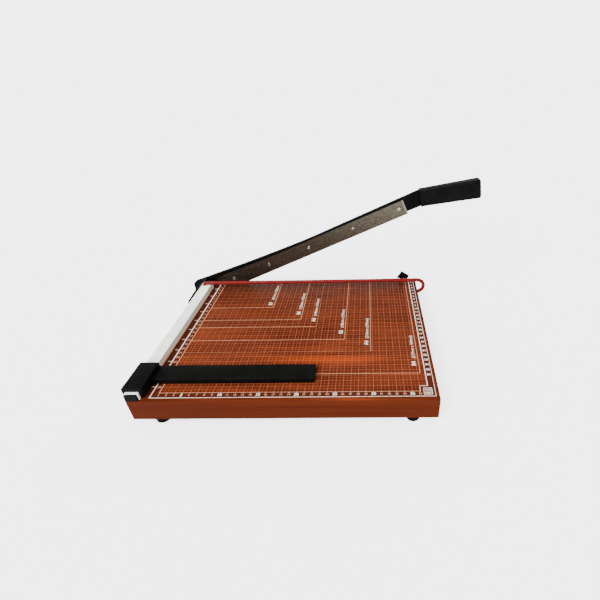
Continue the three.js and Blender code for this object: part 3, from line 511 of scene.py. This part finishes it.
# %% [markdown]
# ## The print on the table
# Rulers, a centimetre grid and the outlines of standard papers are screen-printed in a warm white. They
# could be a picture, but a picture blurs where the eye comes near. Ink is a very thin layer on top of
# the film, so each line is a flat strip a few hundredths of a millimetre above it and stays sharp at
# any distance. All the strips of one ink are one mesh: four corners per line, worked out for all lines
# at once.

# %% Inks
def inked(name, colour):
    """Matt ink with a faint unevenness, as from a worn screen."""
    recipe = Recipe(name, colour, 0.5, **gloss(0.04))
    cover = recipe.noise(380, detail=3.0)
    worn = tuple(int(c * 0.82) for c in colour)
    recipe.wire(recipe.tones(cover, (0.32, worn), (0.5, colour)), "Base Color")
    return recipe.material


warm_white = inked("warm_white_ink", (236, 218, 204))
fine_white = inked("thin_white_ink", (208, 146, 110))
grid_ink = inked("faint_grid_ink", (166, 92, 64))
number_ink = inked("soft_number_ink", (186, 134, 108))
band_ink = inked("dark_band_ink", (66, 24, 13))
print("inks:", ", ".join(ink.name for ink in (warm_white, fine_white, grid_ink, number_ink, band_ink)))

# %% Strips of ink
ink_rise = 0.04


def strips(rows, rise=ink_rise):
    """Rows of (x0, y0, x1, y1) as flat rectangles just above the film."""
    x0, y0, x1, y1 = np.asarray(rows, float).T
    z = np.full_like(x0, rise)
    points = np.stack([x0, y0, z, x1, y0, z, x1, y1, z, x0, y1, z], -1).reshape(-1, 3)
    return points, np.arange(len(points)).reshape(-1, 4).tolist()


def across(ys, x0, x1, width):
    """Lines that run left to right at each y, half their width before and behind it."""
    y = np.atleast_1d(np.asarray(ys, float))
    one = np.ones_like(y)
    return np.stack([x0 * one, y - width / 2, x1 * one, y + width / 2], -1)


def down(xs, y0, y1, width):
    """Lines that run front to back at each x, half their width to its left and right."""
    x = np.atleast_1d(np.asarray(xs, float))
    one = np.ones_like(x)
    return np.stack([x - width / 2, y0 * one, x + width / 2, y1 * one], -1)


print("ink stands", ink_rise, "mm above the film")

# %% The centimetre grid, with dots at the half centimetres
grid_front, grid_back = -290.3, -3.0
grid_left, grid_right = 19.1, 370.9
half_dash, half_dot = 0.5, 0.16
centimetres_x = np.arange(20, 371, 10.0)
centimetres_y = -np.arange(10, 291, 10.0)
lines_down = down(centimetres_x, grid_front, grid_back, 0.4)
lines_across = across(centimetres_y, grid_left, grid_right, 0.4)
x, y = np.meshgrid(np.arange(25, 370, 10.0), -np.arange(4, 290, 2.0))
dots_down = np.stack([x - half_dot, y - half_dash, x + half_dot, y + half_dash], -1).reshape(-1, 4)
x, y = np.meshgrid(np.arange(21, 370, 2.0), -np.arange(5, 290, 10.0))
dots_across = np.stack([x - half_dash, y - half_dot, x + half_dash, y + half_dot], -1).reshape(-1, 4)
grid_rows = np.vstack([lines_down, lines_across, dots_down, dots_across])
make_piece("print_grid", *strips(grid_rows), "base", "film", grid_ink)

# %% [markdown]
# ### Rulers and paper outlines
# Three rulers frame the table, each a pale line beside a dark band, and a corner line marks each
# standard paper by its short and its long side. The papers' true sizes are all that their lines need,
# so they are written once and drawn, and later lettered, from the same two numbers.

# %% Rulers
print_back, print_front = -1.0, -299.07
right_ruler, right_ruler_end = 370.9, -281.0
wide_rows = [
    down(10.1, -299.6, print_back, 1.4),
    across(print_front, 9.5, 380.0, 0.7),
    down(right_ruler, right_ruler_end, print_back, 1.1),
]
thin_rows = [
    down(379.5, -299.4, print_back, 0.6),
    down(360.4, -290.6, right_ruler_end, 0.6),
    across(right_ruler_end, 360.1, 371.4, 0.6),
    across(-25.4 * np.arange(1, 12), 3.4, 9.6, 0.7),
    down(np.arange(20, 361, 10.0), -291.8, grid_front, 0.5),
]
make_piece("print_rulers", *strips(np.vstack(wide_rows + thin_rows)), "base", "film", warm_white)

# %% Paper outlines and dark bands
papers = {"B7": (91, 128), "B6": (128, 182), "A5": (148, 210), "B5": (182, 257), "A4": (210, 297),
          "B4": (257, 364)}
outlines = []
for short, long in papers.values():
    outlines += [across(-short, grid_left, long + 0.3, 0.66), down(long, -short, print_back, 0.66)]
outlines += [down(grid_left, grid_front, print_back, 0.8), across(grid_front, grid_left - 0.4, 360.6, 0.8)]
make_piece("print_paper_outlines", *strips(np.vstack(outlines)), "base", "film", fine_white)
dark_bands = [
    (0.2, -299.0, 9.5, print_back),
    (10.8, -290.0, 18.7, print_back),
    (10.8, -298.7, 359.9, -290.7),
    (371.4, -299.0, 379.3, print_back),
]
make_piece("print_dark_bands", *strips(dark_bands, ink_rise / 2), "base", "film", band_ink)

# %% [markdown]
# ### Numbers and paper names
# The rulers are numbered in centimetres, and each paper's name and size stand beside its corner, to be
# read from the right. Text is drawn flat first and made a mesh, and only then turned and moved, as an
# array of points. The same word is drawn once and placed as often as it is needed.

# %% Words
drawn_words = {}


def word(text, size, bold_by):
    """Flat mesh of a word, size millimetres high and centred on its middle: points and faces."""
    key = (text, size, bold_by)
    if key not in drawn_words:
        letters = bpy.data.curves.new("letters", "FONT")
        letters.body, letters.size, letters.resolution_u = text, size, 2
        letters.align_x, letters.align_y = "CENTER", "CENTER"
        letters.offset = bold_by
        holder = bpy.data.objects.new("letters", letters)
        bpy.context.scene.collection.objects.link(holder)
        shape = holder.evaluated_get(bpy.context.evaluated_depsgraph_get()).to_mesh()
        flat = np.empty(len(shape.vertices) * 3)
        shape.vertices.foreach_get("co", flat)
        faces = [list(face.vertices) for face in shape.polygons]
        drawn_words[key] = (flat.reshape(-1, 3), faces)
        bpy.data.objects.remove(holder)
        bpy.data.curves.remove(letters)
    return drawn_words[key]


def written(text, x, y, size, bold_by, upward=False):
    """A word at (x, y) on the table, read from the front: (x + u, y + v), or turned a quarter, to be
    read from the right: (x - v, y + u)."""
    flat, faces = word(text, size, bold_by)
    u, v = flat[:, 0], flat[:, 1]
    spot = (x - v, y + u) if upward else (x + u, y + v)
    return np.stack([*spot, np.full(len(flat), ink_rise)], -1), faces


print("the word 10 has", len(word("10", 6.4, 0.16)[0]), "points")

# %% Lettering
front_numbers_y, left_numbers_x, right_numbers_x = -294.7, 14.6, 375.3
bright, soft = [], []
for count in range(1, 37):
    if count % 5 == 0:
        bright.append(written(str(count), count * 10, front_numbers_y, 6.4, 0.16))
    else:
        soft.append(written(str(count), count * 10, front_numbers_y, 4.2, 0.12))
for count in range(1, 29):
    soft.append(written(str(count), left_numbers_x, -count * 10, 5.0, 0.12))
    if count < 27:
        bright.append(written(str(count), right_numbers_x, -count * 10, 5.4, 0.12))
for name, (short, long) in papers.items():
    name_y = -short + (12.4 if name == "B7" else 19.1)
    bright.append(written(name, long - 6.4, name_y, 8.6, 0.25, upward=True))
    bright.append(written(f"({short}mm x {long}mm)", long - 5.4, name_y + 37.5, 6.8, 0.05, upward=True))
make_piece("print_lettering", *merged(bright), "base", "film", warm_white)
make_piece("print_soft_numbers", *merged(soft), "base", "film", number_ink)

# %% [markdown]
# ### The corner box
# At the front right corner the rulers leave a small square. A pale box with plain lines fills it, made
# of the same strips as the rulers, because it is the same ink.

# %% Corner box
box_left, box_right, box_back, box_front = 365.0, 375.4, -284.9, -295.9
box_rows = np.vstack([
    across([box_back, box_front], 364.6, 375.8, 0.9),
    down([box_left, box_right], box_front, box_back, 0.9),
    across([-287.6, -290.4, -293.2], 366.6, 373.8, 1.1),
])
make_piece("print_corner_box", *strips(box_rows), "base", "film", warm_white)

# %% [markdown]
# ## Guard rod
# A steel rod dipped in red plastic stands along the cutting edge and keeps fingers off it. It goes up
# out of the board through the rail, turns over a tight elbow, crosses the table in a very slight bow,
# and ends in a wide U-bend that returns into the board's side. A bevelled curve object could draw it,
# but its own arrays of places and headings put each bend exactly where the solid one is. A circle
# carried along that path gives the whole rod.

# %% Path of the rod
def bend(centre, radius, start, end, steps):
    """Stations of a bend in the plane of x and z, at angles measured from up towards the right:
    the place is centre + radius (sin t, cos t) and the heading is (cos t, -sin t)."""
    t = np.radians(np.linspace(start, end, steps + 1))
    zero = np.zeros_like(t)
    places = np.asarray(centre, float) + radius * np.stack([np.sin(t), zero, np.cos(t)], -1)
    return places, np.stack([np.cos(t), zero, -np.sin(t)], -1)


rod_radius = 3.3
rod_lift = 0.3
rod_x, rod_y, rod_z = -12.2, -28.0, rail_height + rod_lift + rod_radius
rod_rise, elbow_radius, return_radius = 1.0, 4.2, 12.15
root_depth, entry_depth = 12, 14
elbow_centre = [rod_x + elbow_radius, rod_y, rod_z - elbow_radius]
elbow_places, elbow_headings = bend(elbow_centre, elbow_radius, -90, 0, 12)
return_centre = np.array([table_right, rod_y, rod_z + rod_rise - return_radius])
return_places, return_headings = bend(return_centre, return_radius, 0, 180, 32)
bow_start = elbow_places[-1, 0]
run = table_right - bow_start
share = np.linspace(0, 1, 24)[1:-1]
level = 0 * share
bow_places = np.stack([bow_start + run * share, rod_y + level, rod_z + rod_rise * share ** 2], -1)
bow_headings = np.stack([run + level, level, 2 * rod_rise * share], -1)
print("rod crosses", round(run, 1), "mm and rises", rod_rise, "mm")

# %% Guard rod
entry = return_centre + [-entry_depth, 0, -return_radius]
places = np.vstack([[rod_x, rod_y, -root_depth], elbow_places, bow_places, return_places, entry])
headings = np.vstack([[0, 0, 1], elbow_headings, bow_headings, return_headings, [-1, 0, 0]])
rod = make_piece("guard_rod_coated", *along_path(places, headings, [0, 1, 0], rod_radius), "base", "red_coat")
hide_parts("guard_rod")

# %% [markdown]
# ## Film with a turned-down edge
# The film wraps slightly over the board's edge, and that small radius catches a bright line of light
# all round the table. A bevel on a flat box would give it too, but a plate with a soft rim already has
# it in its formula.

# %% Table film
film_corner, film_rim = 0.6, 0.55
sheet_outline = box_outline(board_left, table_front, table_right, table_back, film_corner, 3)
sheet_points, sheet_faces = soft_plate(sheet_outline, film_thickness, film_rim)
sheet_points[:, 2] -= film_thickness
sheet = make_piece("table_film", sheet_points, sheet_faces, "base", "film", crisp=60)
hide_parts("grid_sheet")

# %% [markdown]
# ## Paper stop
# Two mouldings in black plastic: a saddle that grips the rail from three sides, and a bar screwed to
# its side. Moulded parts never have sharp rims, because the mould could not be polished there. The
# saddle keeps one section all along, so its section is drawn once, with eased corners, and given the
# saddle's length as a soft plate. The bar is a soft plate too, stood on edge.

# %% Saddle
saddle_left, saddle_right, saddle_top = -22.0, 4.0, 16.0
inner_left, inner_right, inner_top = -18.5, 0.5, 11.5
left_lip, right_lip = -4.0, 1.4
stop_back, saddle_length = -248.0, 51.2
saddle_section = eased([
    [saddle_left, left_lip], [inner_left, left_lip], [inner_left, inner_top], [inner_right, inner_top],
    [inner_right, right_lip], [saddle_right, right_lip], [saddle_right, saddle_top],
    [saddle_left, saddle_top],
], [0.5, 0.5, 0.4, 0.4, 0.5, 0.5, 0.9, 0.9])
shape, saddle_faces = soft_plate(saddle_section, saddle_length, 0.7)
saddle_points = np.stack([shape[:, 0], stop_back - shape[:, 2], shape[:, 1]], -1)
saddle = make_piece("stop_saddle_moulding", saddle_points, saddle_faces, "paper_stop", "black_plastic")
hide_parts("stop_saddle")

# %% Bar
bar_front, bar_bottom, bar_top, bar_length = -275.0, 0.9, 9.7, 217.0
shape, bar_faces = soft_plate(box_outline(bar_front, bar_bottom, stop_back, bar_top, 1.0), bar_length, 0.8)
depth, height, along = shape.T
bar_points = np.stack([along + saddle_right, depth, height], -1)
bar = make_piece("stop_bar_moulding", bar_points, bar_faces, "paper_stop", "black_plastic")
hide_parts("stop_bar")

# %% [markdown]
# ## Arm
# The arm is a flat steel bar: a round eye at the pivot, a belly under it, a long straight run and a
# narrower tang that goes into the grip. Its upper edge has a waist and swells towards the eye. It could
# be modelled where it stands, but every size of it is simple only while it lies level. So its outline
# is drawn level, with its pivot at zero, then leaned.

# %% Arm places
grip_start, grip_level, grip_lean = 448.0, -10.4, math.radians(14.6)
tang_root = -0.3


def leaned(points):
    """Level arm places turned up about the pivot: x' = x cos a - z sin a, z' = x sin a + z cos a."""
    x, y, z = np.asarray(points, float).T
    c, s = math.cos(arm_lean), math.sin(arm_lean)
    return np.stack([x * c - z * s, y, x * s + z * c], -1) + arm_pivot


def on_grip(along, height):
    """Place in the grip's direction, which droops from the arm by the lean a: along goes (cos a, -sin a)
    and height goes (sin a, cos a) from the grip's start."""
    c, s = math.cos(grip_lean), math.sin(grip_lean)
    return [grip_start + along * c + height * s, grip_level - along * s + height * c]


def neck(level):
    """Where a level line of the arm meets the root of the grip: the height is the level over cos a."""
    return on_grip(tang_root, (level - grip_level) / math.cos(grip_lean))


print("grip starts at", leaned([[grip_start, 0, grip_level]]).round(1)[0])

# %% Arm
eye_radius, waist_level, neck_level = 15.1, 3.5, 4.8
belly_level, belly_end = -22.4, 36
waist_start, swell_share = 252, 0.68
tang_length, tang_half = 64, 7.5
arm_front, arm_thickness = 2.9, 6.5
eye = arc([0, 0], eye_radius, 86, 270, 40)
swell_end = eye[0]
swell_x = swell_end[0] + swell_share * (waist_start - swell_end[0])
belly = curve([0, -eye_radius], [12, -eye_radius], [18, belly_level], [belly_end, belly_level], steps=16)
tang = [on_grip(tang_root, -tang_half), on_grip(tang_length, -tang_half),
        on_grip(tang_length, tang_half), on_grip(tang_root, tang_half)]
waist = curve([waist_start, waist_level], [swell_x, waist_level], swell_end, steps=24)
arm_outline = np.vstack([eye, belly[1:], [neck(belly_level), *tang, neck(neck_level)], waist[:-1]])
shape, arm_faces = soft_plate(arm_outline, arm_thickness, 0.6)
x, z, back = shape.T
faces_outward = [face[::-1] for face in arm_faces]
arm_points = leaned(np.stack([x, arm_front + back, z], -1))
arm = make_piece("arm_bar_painted", arm_points, faces_outward, "arm", "black_paint")
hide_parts("arm_bar")

# %% [markdown]
# ## Grip
# The grip is moulded over the tang. It is a long block that is thinner at its root, with well-rounded
# rims and a small collar where the tang enters. A subdivided cube would round it too, but its corners
# would shrink away from their true size. Here the block is a soft plate whose rims are nearly as large
# as its corners; its thickness and height are then scaled along its length.

# %% Grip maker
grip_centre_y, grip_rise = arm_front + arm_thickness / 2, 1.6


def grip_block(start, end, height, thickness, corner_radius, soft, rings=6):
    """Soft plate along the grip: its outline is (across, height) and its thickness is the length, so its
    points (y, z, x) are put in the order x, y, z."""
    section = box_outline(-thickness / 2, -height / 2, thickness / 2, height / 2, corner_radius, 6)
    block_points, block_faces = soft_plate(section, end - start, soft, rings)
    y, z, x = block_points.T
    return np.stack([x + start, y, z], -1), block_faces


def handed(points):
    """From the grip's own places (along, across, height) to the leaned arm: drooped, then leaned."""
    x, z = on_grip(points[:, 0], points[:, 2])
    return leaned(np.stack([x, points[:, 1] + grip_centre_y, z], -1))


print("grip droops", round(math.degrees(grip_lean), 1), "degrees from the arm")

# %% Grip
grip_length, grip_height, grip_thickness = 102.1, 32.2, 20.0
root_thickness_share, root_height_share = 0.72, 0.93
handle_points, handle_faces = grip_block(0, grip_length, grip_height, grip_thickness, 4.5, 3.6)
share = np.clip(handle_points[:, :1] / grip_length, 0, 1)
handle_points[:, 1:2] *= root_thickness_share + (1 - root_thickness_share) * share
handle_points[:, 2:3] *= root_height_share + (1 - root_height_share) * share
collar_points, collar_faces = grip_block(-0.2, 4.0, 29.6, 16.0, 1.6, 0.8, 3)
grip_points, grip_faces = merged([(handle_points, handle_faces), (collar_points, collar_faces)])
grip_points[:, 2] += grip_rise
grip = make_piece("grip_moulding", handed(grip_points), grip_faces, "arm", "grip_plastic")
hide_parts("grip")

# %% [markdown]
# ## Screws of the blade
# Five slotted screws hold the blade. Their heads sit nearly level with it, and their slots look dark.
# A slot could be cut with a boolean, but that leaves ragged faces on so small a disc. So a head is two
# half discs with a gap between them, on a turned stem, and a thin black disc deep in the gap is painted
# shadow: it darkens the slot where the shade falls.

# %% Slotted screw maker
def slotted_screw(place, outward, head, height, shank, length, turn):
    """Two half discs with a slot between them stand on a turned shank whose rim lies a little deeper.
    The slot's edge cuts the circle at the angle whose sine is half the slot over the radius."""
    disc, slot, step, rim = head * 0.82, head * 0.34, height * 0.5, height * 0.12
    edge = math.degrees(math.asin(slot / 2 / disc))
    halves = [soft_plate(arc([0, 0], disc, edge + start, 180 - edge + start, 28), step, rim)
              for start in (turn, 180 + turn)]
    halves = [(points - [0, 0, step], faces) for points, faces in halves]
    stem = turned([[0, -length], [shank * 0.6, -length], [shank, -length + shank], [shank, -height],
                   [head, -height * 0.35], [disc, -step], [0, -step]], 48)
    points, faces = merged([*halves, stem])
    return aimed(points, place, outward), faces


# A thin black disc under the half discs: painted shadow that darkens each slot.
slot_shadow_radius, slot_shadow_under, slot_shadow_over = 3.5, -0.62, -0.56
slot_shadow_disc, slot_shadow_faces = turned([[0, slot_shadow_under], [slot_shadow_radius, slot_shadow_under], [slot_shadow_radius, slot_shadow_over],
                                  [0, slot_shadow_over]], 48)
print("slot floor:", len(slot_shadow_disc), "points")

# %% Screws of the blade
blade_start, blade_end = 34.0, 420.0
blade_screw_shares = [0.085, 0.285, 0.508, 0.741, 0.969]
heel_screw_level, screw_level = -8.5, -11.5
blade_face = 0.1
toward_user = [0, -1, 0]
slot_shadow_discs = []
for number, share in enumerate(blade_screw_shares, start=1):
    level = heel_screw_level if number == 1 else screw_level
    spot = [blade_start + share * (blade_end - blade_start), blade_face, level]
    points, faces = slotted_screw(spot, toward_user, 3.6, 1.9, 1.9, 8, -23.3)
    thing = make_piece(f"blade_screw_slotted_{number}", leaned(points), faces, "arm", "zinc_steel", crisp=30)
    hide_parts(f"blade_screw_{number}")
    slot_shadow_discs.append((aimed(slot_shadow_disc, spot, toward_user), slot_shadow_faces))
# The black discs are painted shadow in the slots of the zinc screws.
points, faces = merged(slot_shadow_discs)
make_piece("blade_screw_slot_shadow_discs", leaned(points), faces, "arm", "black_paint")

# %% [markdown]
# ## Screws of the bracket
# Three domed screws with cross recesses hold the bracket to the board's side. The head is a turned
# form, and its recess is cut by arithmetic: the height of every point near the middle is lowered where
# it lies inside one of the two crossing bars.

# %% Domed screws
def domed_screw(place, outward, head, height, shank, length):
    """Head profile turned in 40 steps. A point near the top sinks where it lies inside the recess's
    reach and |x| or |y| is under half the width of a bar."""
    reach, half_width, sink = head * 0.55, head * 0.13 * 1.6, head * 0.32
    s = np.linspace(1, 0, 14)[:-1]
    crown = np.stack([head * s, height * (0.55 + 0.45 * np.sqrt(1 - s ** 2))], -1)
    profile = np.vstack([[0, -length], [shank * 0.6, -length], [shank, -length + shank], [head, 0.0], crown,
                         [0, height]])
    points, faces = turned(profile, 40)
    x, y, z = points.T
    in_cross = (np.minimum(abs(x), abs(y)) < half_width) & (np.hypot(x, y) < reach)
    points[:, 2] -= np.where(in_cross & (z > height * 0.5), sink, 0)
    return aimed(points, place, outward), faces


bracket_face = board_left - 4.5
bracket_screw_places = [(68, 8.5), (40, 14), (12, 20)]
for number, (inset, drop) in enumerate(bracket_screw_places, start=1):
    points, faces = domed_screw([bracket_face, -inset, -drop], [-1, 0, 0], 4.0, 2.4, 2.0, 15)
    thing = make_piece(f"bracket_screw_domed_{number}", points, faces, "base", "black_paint", crisp=30)
    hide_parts(f"bracket_screw_{number}")

# %% [markdown]
# ## Feet
# Four rubber feet, each wide where it meets the board, with a rounded bottom rim. They are moulded as
# bodies of revolution, so the same turned profile makes all four.

# %% Feet
foot_bottom, foot_top, foot_round, foot_height = 9.3, 11.0, 1.8, 12.4
flat_radius = foot_bottom - foot_round
foot_profile = np.vstack([
    [[0, 0.0], [flat_radius, 0.0]],
    arc([flat_radius, foot_round], foot_round, -90, -8, 6)[1:],
    [[foot_top, foot_height], [0, foot_height]],
])
foot_inset = 32
left_x, right_x = board_left + foot_inset, table_right - foot_inset
front_y, rear_y = table_front + 12.5, -22.0
foot_spots = {
    "front_left": (left_x, front_y), "front_right": (right_x, front_y),
    "rear_left": (left_x, rear_y), "rear_right": (right_x, rear_y),
}
for name, (x, y) in foot_spots.items():
    points, faces = turned(foot_profile, 56)
    foot = make_piece(f"foot_{name}_turned", points + [x, y, floor_level], faces, "base", "rubber")
    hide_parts(f"foot_{name}")

# %% [markdown]
# ## Floor, light and camera
# The cutter was photographed on white under broad, soft light. Many lamps could give that, but one wide
# lamp high in front is enough: as even as sunlight, with the soft edge of a large cloth. The sky is
# bright near the horizon and dimmer above, so the black parts stay black. A white floor under so little
# light would look grey, so floor and sky are brighter to the eye than to the parts that they light.

# %% Floor
brighter_to_the_eye = 2.0


def pale_floor(reach):
    """One wide square of matt white, as four corners. It glows only for rays that come from the eye."""
    corners = [(-reach, -reach, 0), (reach, -reach, 0), (reach, reach, 0), (-reach, reach, 0)]
    mesh = bpy.data.meshes.new("floor")
    mesh.from_pydata(corners, [], [(0, 1, 2, 3)])
    matt_white = Recipe("pale_floor", (250, 250, 250), 0.8, **gloss(0.0), **{"Emission Color": (1, 1, 1, 1)})
    seen = matt_white.add("ShaderNodeLightPath").outputs["Is Camera Ray"]
    matt_white.wire(matt_white.combine("MULTIPLY", seen, brighter_to_the_eye), "Emission Strength")
    mesh.materials.append(matt_white.material)
    floor = bpy.data.objects.new("floor", mesh)
    bpy.context.scene.collection.objects.link(floor)
    print("floor reaches", reach, "m each way")


pale_floor(15.0)

# %% Sky
def studio_sky(low, high):
    """Brightness falls from low at the horizon to high above 17 degrees, by the height of the direction.
    The eye sees it brighter by a fixed amount, as it does the floor."""
    world = bpy.data.worlds.new("studio_sky")
    world.use_nodes = True
    nodes, links = world.node_tree.nodes, world.node_tree.links
    heading = nodes.new("ShaderNodeTexCoord").outputs["Generated"]
    parts = nodes.new("ShaderNodeSeparateXYZ")
    fall = nodes.new("ShaderNodeMapRange")
    fall.interpolation_type = "SMOOTHSTEP"
    for key, value in {"From Min": 0.12, "From Max": 0.3, "To Min": low, "To Max": high}.items():
        fall.inputs[key].default_value = value
    links.new(heading, parts.inputs[0])
    links.new(parts.outputs["Z"], fall.inputs["Value"])
    seen = nodes.new("ShaderNodeMath")
    seen.operation = "MULTIPLY_ADD"
    seen.inputs[1].default_value = brighter_to_the_eye
    links.new(nodes.new("ShaderNodeLightPath").outputs["Is Camera Ray"], seen.inputs[0])
    links.new(fall.outputs["Result"], seen.inputs[2])
    links.new(seen.outputs[0], nodes["Background"].inputs["Strength"])
    nodes["Background"].inputs["Color"].default_value = (1, 1, 1, 1)
    bpy.context.scene.world = world
    print("sky: strength", low, "at the horizon,", high, "above")


studio_sky(3.0, 0.6)

# %% Lamps
def soft_lamp(name, toward, strength, spread):
    """A lamp so far away that it lights evenly, with a wide face for soft shadows."""
    light = bpy.data.lights.new(name, "SUN")
    light.energy, light.angle = strength, math.radians(spread)
    lamp = bpy.data.objects.new(name, light)
    lamp.rotation_euler = Vector(toward).to_track_quat("Z", "Y").to_euler()
    bpy.context.scene.collection.objects.link(lamp)
    print(name, "strength", strength, "spread", spread, "degrees")


soft_lamp("front_lamp", (-0.5, -0.95, 1.0), 8.0, 40)
soft_lamp("back_lamp", (0.5, 0.6, 1.0), 1.5, 60)

# %% [markdown]
# ## Camera
# The paper outlines have known sizes, so their corners in the picture fix where the camera stood, how
# it was turned and how long its lens was. It could be aimed by hand, but then no measure could be read
# from the picture. Its view is built by turning: yaw about z, then pitch, then roll about the line of
# sight.

# %% Camera
def about_z(angle):
    """Turn about z: the rows are (cos, -sin, 0), (sin, cos, 0) and (0, 0, 1)."""
    c, s = math.cos(angle), math.sin(angle)
    return np.array([[c, -s, 0], [s, c, 0], [0, 0, 1]])


def photo_camera(place, pitch, yaw, roll, focal, middle, width=600, sensor=36.0):
    """Rows of the view are right, down and forward. The focal length and the middle are in pixels of
    the square picture."""
    sp, cp = math.sin(pitch), math.cos(pitch)
    view = about_z(roll) @ np.array([[1, 0, 0], [0, -sp, -cp], [0, cp, -sp]]) @ about_z(yaw)
    placing = np.eye(4)
    placing[:3, :3] = np.stack([view[0], -view[1], -view[2]], -1)
    placing[:3, 3] = to_metres(place)
    lens = bpy.data.cameras.new("photo_camera")
    lens.sensor_width, lens.lens = sensor, focal / width * sensor
    lens.shift_x, lens.shift_y = (width / 2 - middle[0]) / width, (middle[1] - width / 2) / width
    camera = bpy.data.objects.new("photo_camera", lens)
    camera.matrix_world = Matrix(placing.tolist())
    bpy.context.scene.collection.objects.link(camera)
    bpy.context.scene.camera = camera
    print("camera at", [round(v, 4) for v in camera.location])


photo_camera([296.0386, -646.0477, 367.9411], 0.5607961, -0.0241352, -0.0254326, 383.734, (361.566, 296.996))
